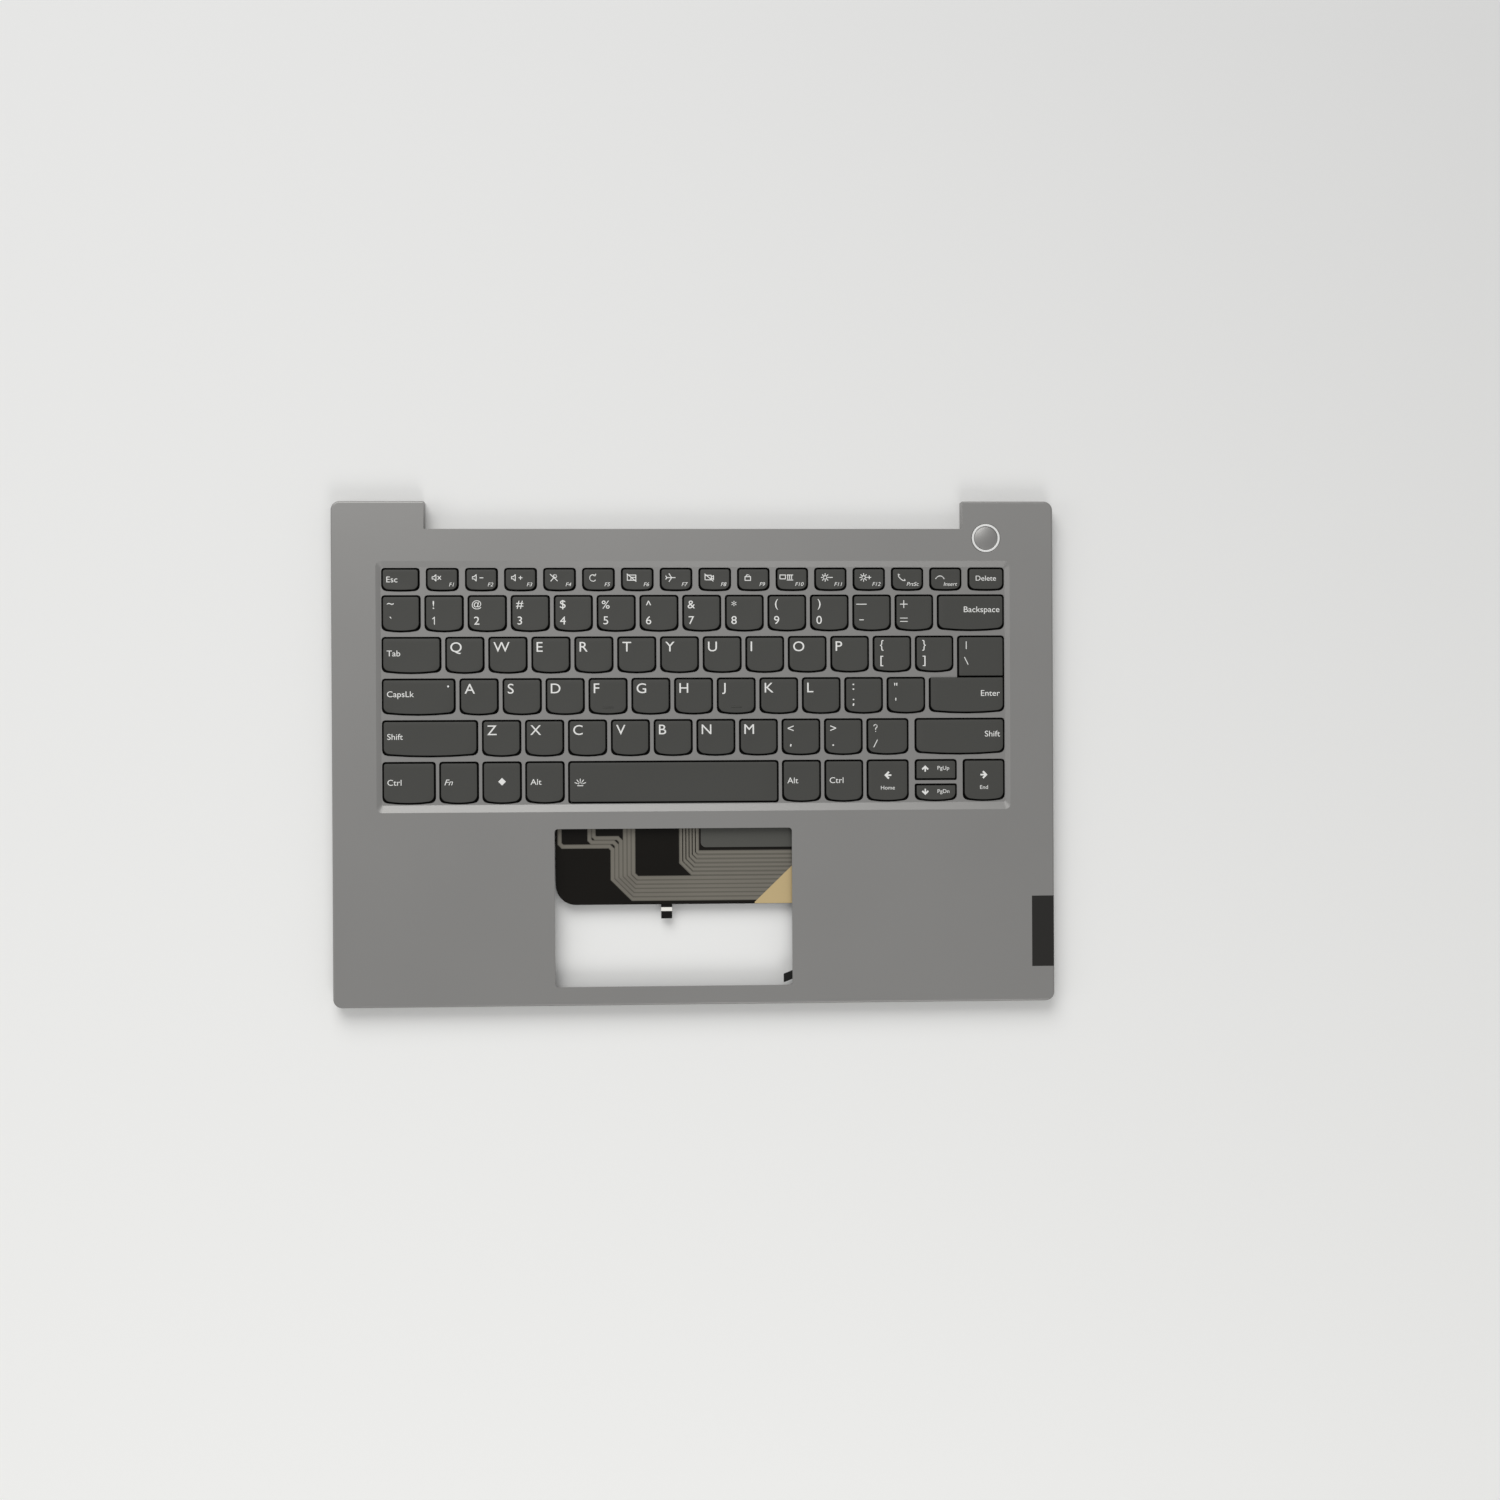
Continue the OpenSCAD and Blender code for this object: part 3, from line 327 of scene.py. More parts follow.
def capCorners(name, box):
    # low and high corner of a cap, inside the box of its CAD key
    low, high = box[0].copy(), box[1].copy()
    for corner, sign in ((low, 1), (high, -1)):
        corner.xy += Vector((1, 1)) * capShape["shrink"] * sign
    if name == "enter":
        high.y = (box[1].y + boxes["backslash"][0].y - capShape["joinGap"]) / 2
    if name == "backslash":
        low.y = (box[0].y + boxes["enter"][1].y + capShape["joinGap"]) / 2
    return low, high


def capOutline(name, low, high):
    # one flat face with round corners and, on most keys, a curved front edge
    width, depth = high.x - low.x, high.y - low.y
    middle = (low + high) / 2
    bulge = capShape["functionBulge"] if name in keyRows[0] else capShape["bulge"]
    if name in straightFront:
        bulge = 0
    rearRadius = capShape["joinRadius"] if name in joinedRear else capShape["rearRadius"]
    frontRadius = capShape["frontRadius"]
    if name == "space":
        frontRadius = capShape["rearRadius"]
    if name in joinedFront:
        frontRadius = capShape["joinRadius"]
    cap = bmesh.new()
    quad = bmesh.ops.create_grid(cap, x_segments=1, y_segments=1, size=0.5)["verts"]
    bmesh.ops.scale(cap, vec=(width, depth - bulge, 1), verts=quad)
    bmesh.ops.translate(cap, vec=(middle.x, middle.y + bulge / 2, low.z), verts=quad)
    for radius, rear in ((rearRadius, True), (frontRadius, False)):
        pair = [v for v in cap.verts if (v.co.y > middle.y) == rear]
        bmesh.ops.bevel(cap, geom=pair, offset=radius, offset_type="OFFSET", segments=capShape["cornerSteps"],
                        profile=0.5, affect="VERTICES", material=-1)
    if bulge:
        front = min(v.co.y for v in cap.verts)
        edges = [e for e in cap.edges if all(abs(v.co.y - front) < tiny for v in e.verts)]
        bmesh.ops.subdivide_edges(cap, edges=edges, cuts=capShape["bulgeCuts"])
        for v in cap.verts:
            if v.co.y < middle.y:
                v.co.y -= bulge * (1 - ((v.co.x - middle.x) / (width / 2)) ** 2)
    return cap


def raiseCap(cap, low, high):
    # the outline goes up with a draft, its top gets a round edge, a shallow dish and a hollow below
    width, depth, height = high - low
    middle = (low + high) / 2
    raised = bmesh.ops.extrude_face_region(cap, geom=[cap.faces[:][0]])["geom"]
    topVerts = [g for g in raised if isinstance(g, bmesh.types.BMVert)]
    topFace = [g for g in raised if isinstance(g, bmesh.types.BMFace)][0]
    for v in topVerts:
        v.co.z += height
        v.co.x = middle.x + (v.co.x - middle.x) * (1 - 2 * capShape["draft"] / width)
        v.co.y = middle.y + (v.co.y - middle.y) * (1 - 2 * capShape["draft"] / depth)
    bmesh.ops.bevel(cap, geom=list(topFace.edges), offset=capShape["edgeRound"], offset_type="OFFSET",
                    segments=capShape["edgeSteps"], profile=0.5, affect="EDGES", material=-1)
    cap.normal_update()
    flat = max((f for f in cap.faces if abs(f.normal.z) > 0.9 and f.calc_center_median().z > high.z - 0.01),
               key=lambda f: f.calc_area())
    for i in range(capShape["dishRings"]):
        share = (capShape["dishRings"] - i) / (capShape["dishRings"] + 1 - i)
        flat = ringIn(cap, flat, (share, share), -capShape["dishDepth"])
    bottomFace = min((f for f in cap.faces if abs(f.normal.z) > 0.9), key=lambda f: f.calc_center_median().z)
    walls = 2 * capShape["wall"]
    bottomFace = ringIn(cap, bottomFace, (1 - walls / width, 1 - walls / depth), 0)
    ringIn(cap, bottomFace, (1, 1), height - capShape["topThickness"])
    bmesh.ops.recalc_face_normals(cap, faces=cap.faces)
    # the top takes the key plastic; the sides and the hollow below take the near-black painted shade of the
    # gap
    for face in cap.faces:
        isTop = face.normal.z > 0.5 and face.calc_center_median().z > high.z - 0.5
        face.material_index = 0 if isTop else 1


def addCap(bm, name, box):
    low, high = capCorners(name, box)
    cap = capOutline(name, low, high)
    raiseCap(cap, low, high)
    mesh = bpy.data.meshes.new("cap")
    cap.to_mesh(mesh)
    tree = BVHTree.FromBMesh(cap)
    cap.free()
    bm.from_mesh(mesh)
    bpy.data.meshes.remove(mesh)
    return tree


# Legends: printed words and small generic signs, draped on the caps

legend = {
    "letter": 4.6, "digit": 3.75, "word": 2.7, "delete": 2.35, "small": 1.75,    # heights of the capitals
    "functionSign": 1.45, "keyLight": 1.2, "arrow": 1.8, "smallArrow": 1.6,      # scales of the drawn signs
    "left": 2.1, "right": 1.9, "top": 2.2,                   # margins of words and letters
    "middle": 3.8, "upper": 4.1, "lower": 11.1,              # place of the two signs on a digit key
    "slant": 0.3, "smallSlant": 0.25,
    "thick": 0.014, "stroke": 0.36, "widen": 1.08,
}
capHeightShare = 0.729       # height of a capital letter in the font, for size 1
meshCache = {}


def textMesh(words, height, slant=0.0):
    # flat words as a mesh, with their lower left corner at the origin
    key = (words, height, slant)
    if key not in meshCache:
        curve = bpy.data.curves.new("words", "FONT")
        curve.body = words
        curve.size = height / capHeightShare
        curve.shear = slant
        curve.extrude = legend["thick"]
        curve.resolution_u = 5
        obj = link(bpy.data.objects.new("words", curve))
        bpy.context.view_layer.update()
        mesh = bpy.data.meshes.new_from_object(obj.evaluated_get(bpy.context.evaluated_depsgraph_get()))
        bpy.data.objects.remove(obj)
        bpy.data.curves.remove(curve)
        rise = 1
        if words == "J":
            rise = height / max(v.co.y for v in mesh.vertices) * 0.8       # this letter hangs below the line
        for v in mesh.vertices:
            v.co.x *= legend["widen"]
            v.co.y *= rise
        meshCache[key] = mesh
    return meshCache[key]


def addBar(bm, start, end, width):
    # one stroke of a sign: a flat bar with square ends
    start, end = Vector(start), Vector(end)
    along = end - start
    bar = bmesh.ops.create_cube(bm, size=1)["verts"]
    bmesh.ops.scale(bm, vec=(along.length + width * 0.7, width, 2 * legend["thick"]), verts=bar)
    turn = Quaternion((0, 0, 1), math.atan2(along.y, along.x)).to_matrix()
    bmesh.ops.rotate(bm, cent=(0, 0, 0), matrix=turn, verts=bar)
    bmesh.ops.translate(bm, vec=((start.x + end.x) / 2, (start.y + end.y) / 2, 0), verts=bar)


def addPlate(bm, points):
    # a filled sign: a flat plate with the given outline
    face = bm.faces.new([bm.verts.new((x, y, -legend["thick"])) for x, y in points])
    raised = bmesh.ops.extrude_face_region(bm, geom=[face])["geom"]
    bmesh.ops.translate(bm, vec=(0, 0, 2 * legend["thick"]),
                        verts=[g for g in raised if isinstance(g, bmesh.types.BMVert)])


def arc(x, y, radius, start, end, steps=10):
    turns = [math.radians(start + (end - start) * i / steps) for i in range(steps + 1)]
    return [(x + radius * math.cos(t), y + radius * math.sin(t)) for t in turns]


speaker = [(-1.5, -0.35), (-1.0, -0.35), (-0.35, -0.95), (-0.35, 0.95), (-1.0, 0.35), (-1.5, 0.35),
           (-1.5, -0.35)]
sun = [arc(-0.5, 0, 0.55, 0, 360, 12)] + [
    [(-0.5 + 0.85 * math.cos(a), 0.85 * math.sin(a)), (-0.5 + 1.2 * math.cos(a), 1.2 * math.sin(a))]
    for a in (math.pi * i / 4 for i in range(8))]
minus = [(0.75, 0), (1.75, 0)]
plusRise = [(1.25, -0.5), (1.25, 0.5)]
screen = [(-1.3, -0.8), (1.3, -0.8), (1.3, 0.8), (-1.3, 0.8), (-1.3, -0.8)]
signStrokes = {
    "one": [[(0.1, -1.6), (0.1, 1.6)], [(0.1, 1.5), (-0.7, 0.85)]],
    "plus": [[(-1.6, 0), (1.6, 0)], [(0, -1.6), (0, 1.6)]],
    "equals": [[(-1.6, 0.75), (1.6, 0.75)], [(-1.6, -0.75), (1.6, -0.75)]],
    "question": [[*arc(0, 0.85, 0.75, 170, -50, 10), (0.05, -0.1), (0.05, -0.6)],
                 [(0.05, -1.5), (0.05, -1.4)]],
    "longDash": [[(-2.2, 0), (2.2, 0)]],
    "shortDash": [[(-0.9, 0), (0.9, 0)]],
    "colon": [[(0, 1.0), (0, 1.1)], [(0, -1.1), (0, -1.0)]],
    "semicolon": [[(0, 1.0), (0, 1.1)], [(0.05, -0.9), (-0.1, -1.5)]],
    "dot": [[(0, 0), (0, 0.1)]],
    "comma": [[(0.05, 0.1), (-0.1, -0.5)]],
    "slash": [[(-0.8, -1.6), (0.8, 1.6)]],
    "backslash": [[(0.8, -1.6), (-0.8, 1.6)]],
    "bar": [[(0, -1.6), (0, 1.6)]],
    "mute": [speaker, [(0.2, -0.5), (1.1, 0.5)], [(0.2, 0.5), (1.1, -0.5)]],
    "quieter": [speaker, minus],
    "louder": [speaker, minus, plusRise],
    "microphone": [[(-0.9, -1.1), (0.2, 0.2)], arc(0.35, 0.4, 0.5, 0, 360, 10), [(-1.1, 1.0), (1.1, -1.0)]],
    "refresh": [arc(0, 0, 1.0, 40, 320, 14), [(0.77, 0.64), (0.85, 1.2)], [(0.77, 0.64), (0.2, 0.75)]],
    "screenOff": [screen, [(-1.4, 1.15), (1.4, -1.15)], [(-0.2, -0.8), (-0.2, 0.1), (1.3, 0.1)]],
    "plane": [[(-1.3, 0), (1.4, 0)], [(0.3, 0), (-0.5, 1.2)], [(0.3, 0), (-0.5, -1.2)],
              [(-1.1, 0), (-1.5, 0.5)], [(-1.1, 0), (-1.5, -0.5)]],
    "cameraOff": [[(-1.3, -0.7), (0.6, -0.7), (0.6, 0.7), (-1.3, 0.7), (-1.3, -0.7)],
                  [(0.6, 0.1), (1.3, 0.6), (1.3, -0.6), (0.6, -0.1)], [(-1.4, 1.1), (1.2, -1.1)]],
    "lock": [[(-0.85, -1.0), (0.85, -1.0), (0.85, 0.15), (-0.85, 0.15), (-0.85, -1.0)],
             arc(0, 0.2, 0.55, 0, 180, 8)],
    "screens": [[(-2.0, -0.45), (-0.3, -0.45), (-0.3, 0.75), (-2.0, 0.75), (-2.0, -0.45)],
                [(0.2, -0.8), (2.0, -0.8)], [(0.2, 0.75), (2.0, 0.75)], [(0.4, -0.5), (0.4, 0.6)],
                [(1.0, -0.5), (1.0, 0.6)], [(1.6, -0.5), (1.6, 0.6)]],
    "dimmer": [*sun, minus],
    "brighter": [*sun, minus, plusRise],
    "answer": [[(-1.1, 0.9), (-1.0, 0.2), (-0.4, -0.5), (0.3, -1.0), (1.0, -1.05)],
               [(-1.1, 0.9), (-0.7, 0.7)], [(1.0, -1.05), (0.9, -0.65)]],
    "hangUp": [arc(0, -0.9, 1.3, 35, 145, 8), [(-1.06, -0.15), (-1.3, -0.45)], [(1.06, -0.15), (1.3, -0.45)]],
    "keyLight": [[(-1.0, -1.3), (1.0, -1.3)], *[
        [(1.2 * math.cos(a), -0.9 + 1.2 * math.sin(a)), (2.1 * math.cos(a), -0.9 + 2.1 * math.sin(a))]
        for a in (math.radians(t) for t in (20, 55, 90, 125, 160))], arc(0, -0.9, 0.75, 20, 160, 6)],
}
functionSigns = ["mute", "quieter", "louder", "microphone", "refresh", "screenOff", "plane", "cameraOff",
                 "lock", "screens", "dimmer", "brighter", "answer", "hangUp"]
wideSigns = ("quieter", "louder", "dimmer", "brighter")
shiftedSigns = dict(zip(
    ["grave", *"1234567890", "minus", "equals", "left_bracket", "right_bracket", "backslash",
     "semicolon", "quote", "comma", "period", "slash"],
    ["~`", "!1", "@2", "#3", "$4", "%5", "^6", "&7", "*8", "(9", ")0", "_-", "+=", "{[", "}]",
     "|\\", ":;", "\"'", "<,", ">.", "?/"]))
drawnSigns = {"1": "one", "+": "plus", "=": "equals", "_": "longDash", "-": "shortDash", ":": "colon",
              ";": "semicolon", ".": "dot", ",": "comma", "/": "slash", "\\": "backslash", "|": "bar",
              "?": "question"}
drawnWeights = {"equals": 0.32, "colon": 0.7, "semicolon": 0.65, "dot": 0.7, "comma": 0.6}
signLifts = {"\"": 1.0, "'": 1.3, "`": 1.4, "^": 0.7, "~": 0.5, "*": 0.4, ",": -0.6, ".": -0.6}
leftWords = {"tab": "Tab", "caps": "CapsLk", "left_shift": "Shift", "left_ctrl": "Ctrl", "left_alt": "Alt",
             "right_alt": "Alt", "right_ctrl": "Ctrl", "esc": "Esc"}
rightWords = {"backspace": "Backspace", "enter": "Enter", "right_shift": "Shift"}
wordLifts = {"esc": 0.1, "left_ctrl": 0.3, "left_alt": 0.3, "right_alt": 0.3, "right_ctrl": 0.3}
usualLift = {"left": 0.9, "right": 1.1}      # of the other words, above the middle of the key
signPlaces = {      # the rest of the signs: up from the middle, or in from an edge of the cap
    "deleteUp": 0.4, "fnUp": 0.3, "diamondUp": 0.5, "keyLightIn": 0.5,
    "arrowUp": 2.4, "arrowWordDown": 3.2,
    "smallArrowIn": 4.4, "smallWordIn": 12.6, "upRowUp": 0.5, "downRowUp": 0.3,
    "functionSignIn": 4.5, "wideSignIn": 5.4, "functionSignTop": 4.2,
    "functionWordRight": 1.8, "functionWordFront": 2.0,
    "lampRight": 3.0, "lampTop": 3.3, "homeBarFront": 3.1,
}
diamond = [(1.7, 0), (0, 1.7), (-1.7, 0), (0, -1.7)]
lampDot = arc(0, 0, 0.42, 0, 324, 9)


def signMesh(sign, size=1.0):
    # a sign drawn with bars, a stroke for each list of points
    bm = bmesh.new()
    width = drawnWeights.get(sign, legend["stroke"])
    for stroke in signStrokes[sign]:
        for start, end in zip(stroke, stroke[1:]):
            addBar(bm, [c * size for c in start] + [0], [c * size for c in end] + [0], width)
    mesh = bpy.data.meshes.new("sign")
    bm.to_mesh(mesh)
    bm.free()
    return mesh


def shiftedMesh(sign):
    # one of the two signs on a digit key
    if sign in drawnSigns:
        return signMesh(drawnSigns[sign])
    return textMesh(sign, legend["digit"] * (0.82 if sign == "@" else 1))


def arrowMesh(angle, size):
    bm = bmesh.new()
    addPlate(bm, [(0.88, 0), (-0.1, 1.0), (-0.42, 0.68), (0.05, 0.2), (-0.88, 0.2),
                  (-0.88, -0.2), (0.05, -0.2), (-0.42, -0.68), (-0.1, -1.0)])
    turn = Quaternion((0, 0, 1), math.radians(angle)).to_matrix()
    bmesh.ops.rotate(bm, cent=(0, 0, 0), matrix=turn, verts=bm.verts)
    bmesh.ops.scale(bm, vec=(size, size, 1), verts=bm.verts)
    mesh = bpy.data.meshes.new("arrow")
    bm.to_mesh(mesh)
    bm.free()
    return mesh


def plateMesh(points):
    bm = bmesh.new()
    addPlate(bm, points)
    mesh = bpy.data.meshes.new("plate")
    bm.to_mesh(mesh)
    bm.free()
    return mesh


paintIndex, lampIndex = 2, 3       # places of the legend paint and the lamp in keyMaterials


def printSign(bm, mesh, x, y, across, up, tree, top, material=paintIndex):
    # lays a flat sign on the cap: x, y is its place, across and up say which point of the sign lies there
    low = [min((v.co[i] for v in mesh.vertices), default=0) for i in (0, 1)]
    high = [max((v.co[i] for v in mesh.vertices), default=0) for i in (0, 1)]
    shiftX = x - (low[0] + (high[0] - low[0]) * across)
    shiftY = y - (low[1] + (high[1] - low[1]) * up)
    firstVert, firstFace = len(bm.verts), len(bm.faces)
    bm.from_mesh(mesh)
    bm.verts.ensure_lookup_table()
    bm.faces.ensure_lookup_table()
    for v in bm.verts[firstVert:]:
        v.co.x += shiftX
        v.co.y += shiftY
        hit = tree.ray_cast(Vector((v.co.x, v.co.y, top + 1)), Vector((0, 0, -1)))[0]
        v.co.z += hit.z if hit else top
    for face in bm.faces[firstFace:]:
        face.material_index = material


def addLegends(bm, name, box, tree):
    low, high = box
    top = high.z
    left, right, rear = low.x + legend["left"], high.x - legend["right"], high.y - legend["top"]
    middle = (low + high) / 2
    p = signPlaces

    def put(mesh, x, y, across, up, material=paintIndex):
        printSign(bm, mesh, x, y, across, up, tree, top, material)

    if len(name) == 1 and name.isalpha():
        put(textMesh(name.upper(), legend["letter"]), left, rear, 0, 1)
    elif name in shiftedSigns:
        for sign, y in zip(shiftedSigns[name], (legend["upper"], legend["lower"])):
            put(shiftedMesh(sign), low.x + legend["middle"], high.y - y + signLifts.get(sign, 0), 0.5, 0.5)
    elif name in leftWords:
        lift = wordLifts.get(name, usualLift["left"])
        put(textMesh(leftWords[name], legend["word"]), left, middle.y + lift, 0, 0.5)
    elif name in rightWords:
        put(textMesh(rightWords[name], legend["word"]), right, middle.y + usualLift["right"], 1, 0.5)
    elif name == "delete":
        put(textMesh("Delete", legend["delete"]), middle.x, middle.y + p["deleteUp"], 0.5, 0.5)
    elif name == "fn":
        put(textMesh("Fn", legend["word"], legend["slant"]), left, middle.y + p["fnUp"], 0, 0.5)
    elif name == "system":
        put(plateMesh(diamond), middle.x, middle.y + p["diamondUp"], 0.5, 0.5)
    elif name == "space":
        put(signMesh("keyLight", legend["keyLight"]), left + p["keyLightIn"], middle.y, 0, 0.5)
    elif name in ("left", "right"):
        arrow = arrowMesh(180 if name == "left" else 0, legend["arrow"])
        words = textMesh("Home" if name == "left" else "End", legend["small"])
        put(arrow, middle.x, middle.y + p["arrowUp"], 0.5, 0.5)
        put(words, middle.x, middle.y - p["arrowWordDown"], 0.5, 0.5)
    elif name in ("up", "down"):
        y = middle.y + p[name + "RowUp"]
        arrow = arrowMesh(90 if name == "up" else -90, legend["smallArrow"])
        words = textMesh("PgUp" if name == "up" else "PgDn", legend["small"])
        put(arrow, low.x + p["smallArrowIn"], y, 0.5, 0.5)
        put(words, low.x + p["smallWordIn"], y, 0.5, 0.5)
    elif name in keyRows[0]:
        sign = functionSigns[keyRows[0].index(name) - 1]
        place = p["wideSignIn"] if sign in wideSigns else p["functionSignIn"]
        put(signMesh(sign, legend["functionSign"]), low.x + place, high.y - p["functionSignTop"], 0.5, 0.5)
        words = {"print": "PrtSc", "insert": "Insert"}.get(name, name.upper())
        put(textMesh(words, legend["small"], legend["smallSlant"]),
            high.x - p["functionWordRight"], low.y + p["functionWordFront"], 1, 0)
    if name == "caps":
        put(plateMesh(lampDot), high.x - p["lampRight"], high.y - p["lampTop"], 0.5, 0.5, lampIndex)
    if name in ("f", "j"):
        addHomeBar(bm, middle.x, low.y + p["homeBarFront"], tree, top)


homeBar = {"length": 4.6, "width": 0.5, "height": 0.2, "edge": 0.08}


def addHomeBar(bm, x, y, tree, top):
    # raised bar that the finger finds without looking
    cube = bmesh.ops.create_cube(bm, size=1)["verts"]
    bmesh.ops.scale(bm, vec=(homeBar["length"], homeBar["width"], homeBar["height"] * 2), verts=cube)
    hit = tree.ray_cast(Vector((x, y, top + 1)), Vector((0, 0, -1)))[0]
    bmesh.ops.translate(bm, vec=(x, y, hit.z if hit else top), verts=cube)
    edges = list({e for v in cube for e in v.link_edges if all(u.co.z > hit.z for u in e.verts)})
    bmesh.ops.bevel(bm, geom=edges, offset=homeBar["edge"], offset_type="OFFSET", segments=3, profile=0.5,
                    affect="EDGES", material=-1)


boxes = keyBoxes()
keyMaterials = [keyPlastic, keySidePaintedShade, legendPaint, ledWhite]
sprungKeys = [name[4:] for name in nodes if name.startswith("key_") and name[4:] in boxes]


def buildCaps():
    # a piece for each sprung key, and one for the keys that share a node
    joined = bmesh.new()
    for name, box in boxes.items():
        bm = bmesh.new() if name in sprungKeys else joined
        tree = addCap(bm, name, box)
        addLegends(bm, name, box, tree)
        if name in sprungKeys:
            cap = finishPiece(bm, "cap_" + name, keyMaterials, doubles=0, recalc=False)
            shown(cap, "key_" + name, "key_plastic", "key_" + name)
    caps = finishPiece(joined, "joined_caps", keyMaterials, doubles=0, recalc=False)
    shown(caps, "root", "key_plastic", "fixed_keys")


buildCaps()
print("caps made:", len(boxes))


# Case: the sheet of the frame with its sharp edges broken

caseEdge = {"width": 0.14, "segments": 2, "angle": 12}
well = {
    "webTop": 7.7,                                                     # height of the strips between the keys
    "side": 139.25, "rear": 82.95, "front": -22.6, "frontEnd": -24.0,  # where the strips now end
    "round": 2.0, "newRound": 0.9,                                     # corners before and after
}


def buildCase():
    # the step round the keys starts beside the openings, so that it reads as one formed slope
    bm = cadCopy("top_case")
    rim = [v for v in bm.verts if abs(v.co.z - well["webTop"]) < 0.02
           and (abs(v.co.x) > well["side"] or v.co.y > well["rear"]
                or well["frontEnd"] < v.co.y < well["front"])]
    far = max(abs(v.co.x) for v in rim)
    rear = max(v.co.y for v in rim)
    front = min(v.co.y for v in rim)
    share = well["newRound"] / well["round"]
    corner = well["round"] + 0.01
    for v in rim:
        inset = far - abs(v.co.x)
        if inset < corner:
            v.co.x = math.copysign(well["side"] - inset * share, v.co.x)
        if rear - v.co.y < corner:
            v.co.y = well["rear"] - (rear - v.co.y) * share
        elif v.co.y - front < corner:
            v.co.y = front + (v.co.y - front) * share
    dissolveFlat(bm)
    case = finishPiece(bm, "deck_shell", [deckPaint], smoothAngle=caseEdge["angle"], doubles=0, recalc=False)
    broken = case.modifiers.new("brokenEdges", "BEVEL")
    broken.width = caseEdge["width"] * mm
    broken.segments = caseEdge["segments"]
    broken.limit_method = "ANGLE"
    broken.angle_limit = math.radians(caseEdge["angle"])
    case.modifiers.new("flatFaces", "WEIGHTED_NORMAL").keep_sharp = True
    shown(case, "root", "deck_metal", "top_case")


buildCase()
print("case made")


# Printed tracks on the black film in the opening

tracks = {
    "width": 1.25, "secondWidth": 1.0, "base": 1.87, "thick": 0.03,
    "bundleLeft": -38.26, "bundleLow": -66.1, "pitchAcross": 1.85, "pitchUp": 1.87, "count": 6,
    "outerCut": 8.9, "innerCut": 1.8,
    "secondLeft": -7.4, "secondLow": -54.85, "secondPitch": 1.42,
    "secondOuterCut": 4.9, "secondInnerCut": 0.6,
    "rearEnd": -27.0, "rightEnd": 58.0,
    # the three outer tracks of the left bundle turn left at this y and run on to these points
    "leftTurns": [(-41.6, [(-59.6, -41.6), (-60.9, -40.3)]),
                  (-39.75, [(-46.6, -39.75), (-47.6, -38.7)]),
                  (-37.9, [(-44.9, -37.9), (-45.75, -37.0)])],
    "turnCut": 1.4, "sharpest": 0.4,
}


def addTrack(bm, points, width, z, thick, material):
    # a flat track along a list of corners, with mitred bends
    points = [Vector((x, y, 0)) for x, y in points]
    rims = []
    for i, p in enumerate(points):
        before = (p - points[i - 1]).normalized() if i else (points[1] - p).normalized()
        after = (points[i + 1] - p).normalized() if i < len(points) - 1 else before
        side = Vector((-(before + after).y, (before + after).x, 0)).normalized()
        reach = width / 2 / max(tracks["sharpest"], side.dot(Vector((-before.y, before.x, 0))))
        rims.append([bm.verts.new(p + side * reach * s + Vector((0, 0, z))) for s in (-1, 1)])
    faces = [bm.faces.new((a[0], b[0], b[1], a[1])) for a, b in zip(rims, rims[1:])]
    raised = bmesh.ops.extrude_face_region(bm, geom=faces)["geom"]
    bmesh.ops.translate(bm, vec=(0, 0, thick), verts=[g for g in raised if isinstance(g, bmesh.types.BMVert)])
    for v in (v for rim in rims for v in rim):
        for face in v.link_faces:
            face.material_index = material
    for g in raised:
        if isinstance(g, bmesh.types.BMFace):
            g.material_index = material


def buildTracks():
    t = tracks
    bm = bmesh.new()
    z = boxOf("cable_cover_strip")[0].z

    def lay(route, width):
        # silver ink on a broader, duller base
        addTrack(bm, route, t["base"], z, t["thick"] / 2, 0)
        addTrack(bm, route, width, z, t["thick"], 1)

    for i in range(t["count"]):
        share = i / (t["count"] - 1)
        x = t["bundleLeft"] + (i + 0.5) * t["pitchAcross"]
        y = t["bundleLow"] + (i + 0.5) * t["pitchUp"]
        cut = t["outerCut"] + (t["innerCut"] - t["outerCut"]) * share
        start = [(x, t["rearEnd"])]
        if i < len(t["leftTurns"]):
            turnY, bend = t["leftTurns"][i]
            start = [(bend[1][0], t["rearEnd"]), bend[1], bend[0], (x - t["turnCut"], turnY),
                     (x, turnY - t["turnCut"])]
        lay(start + [(x, y + cut), (x + cut, y), (t["rightEnd"], y)], t["width"])
        x = t["secondLeft"] + (i + 0.5) * t["secondPitch"]
        y = t["secondLow"] + (i + 0.5) * t["pitchUp"]
        cut = t["secondOuterCut"] + (t["secondInnerCut"] - t["secondOuterCut"]) * share
        lay([(x, t["rearEnd"]), (x, y + cut), (x + cut, y), (t["rightEnd"], y)], t["secondWidth"])
    piece = finishPiece(bm, "silver_tracks", [silverShade, silverInk], doubles=0)
    shown(piece, "root", "membrane_film")


lightTab = {"frontGap": 3.3, "length": 1.7, "thick": 0.03}      # white stretch of the narrow cable


def buildLightTab():
    low, high = boxOf("light_guide_tail")
    bm = bmesh.new()
    stripe = bmesh.ops.create_cube(bm, size=1)["verts"]
    bmesh.ops.scale(bm, vec=(high.x - low.x, lightTab["length"], lightTab["thick"]), verts=stripe)
    bmesh.ops.translate(bm, vec=((low.x + high.x) / 2, low.y + lightTab["frontGap"] + lightTab["length"] / 2,
                                 high.z + lightTab["thick"] / 2), verts=stripe)
    shown(finishPiece(bm, "light_tail_stripe", [tailWhite]), "root", "tail_film")


buildTracks()
buildLightTab()
print("tracks made")


# Key mechanisms: dome and scissor of each key, split from the frame's groups

groups = {"rubber_domes": domeRubber, "outer_links": linkPlastic, "inner_links": linkPlastic}
mechanismMaterials = [domeRubber, linkPlastic]


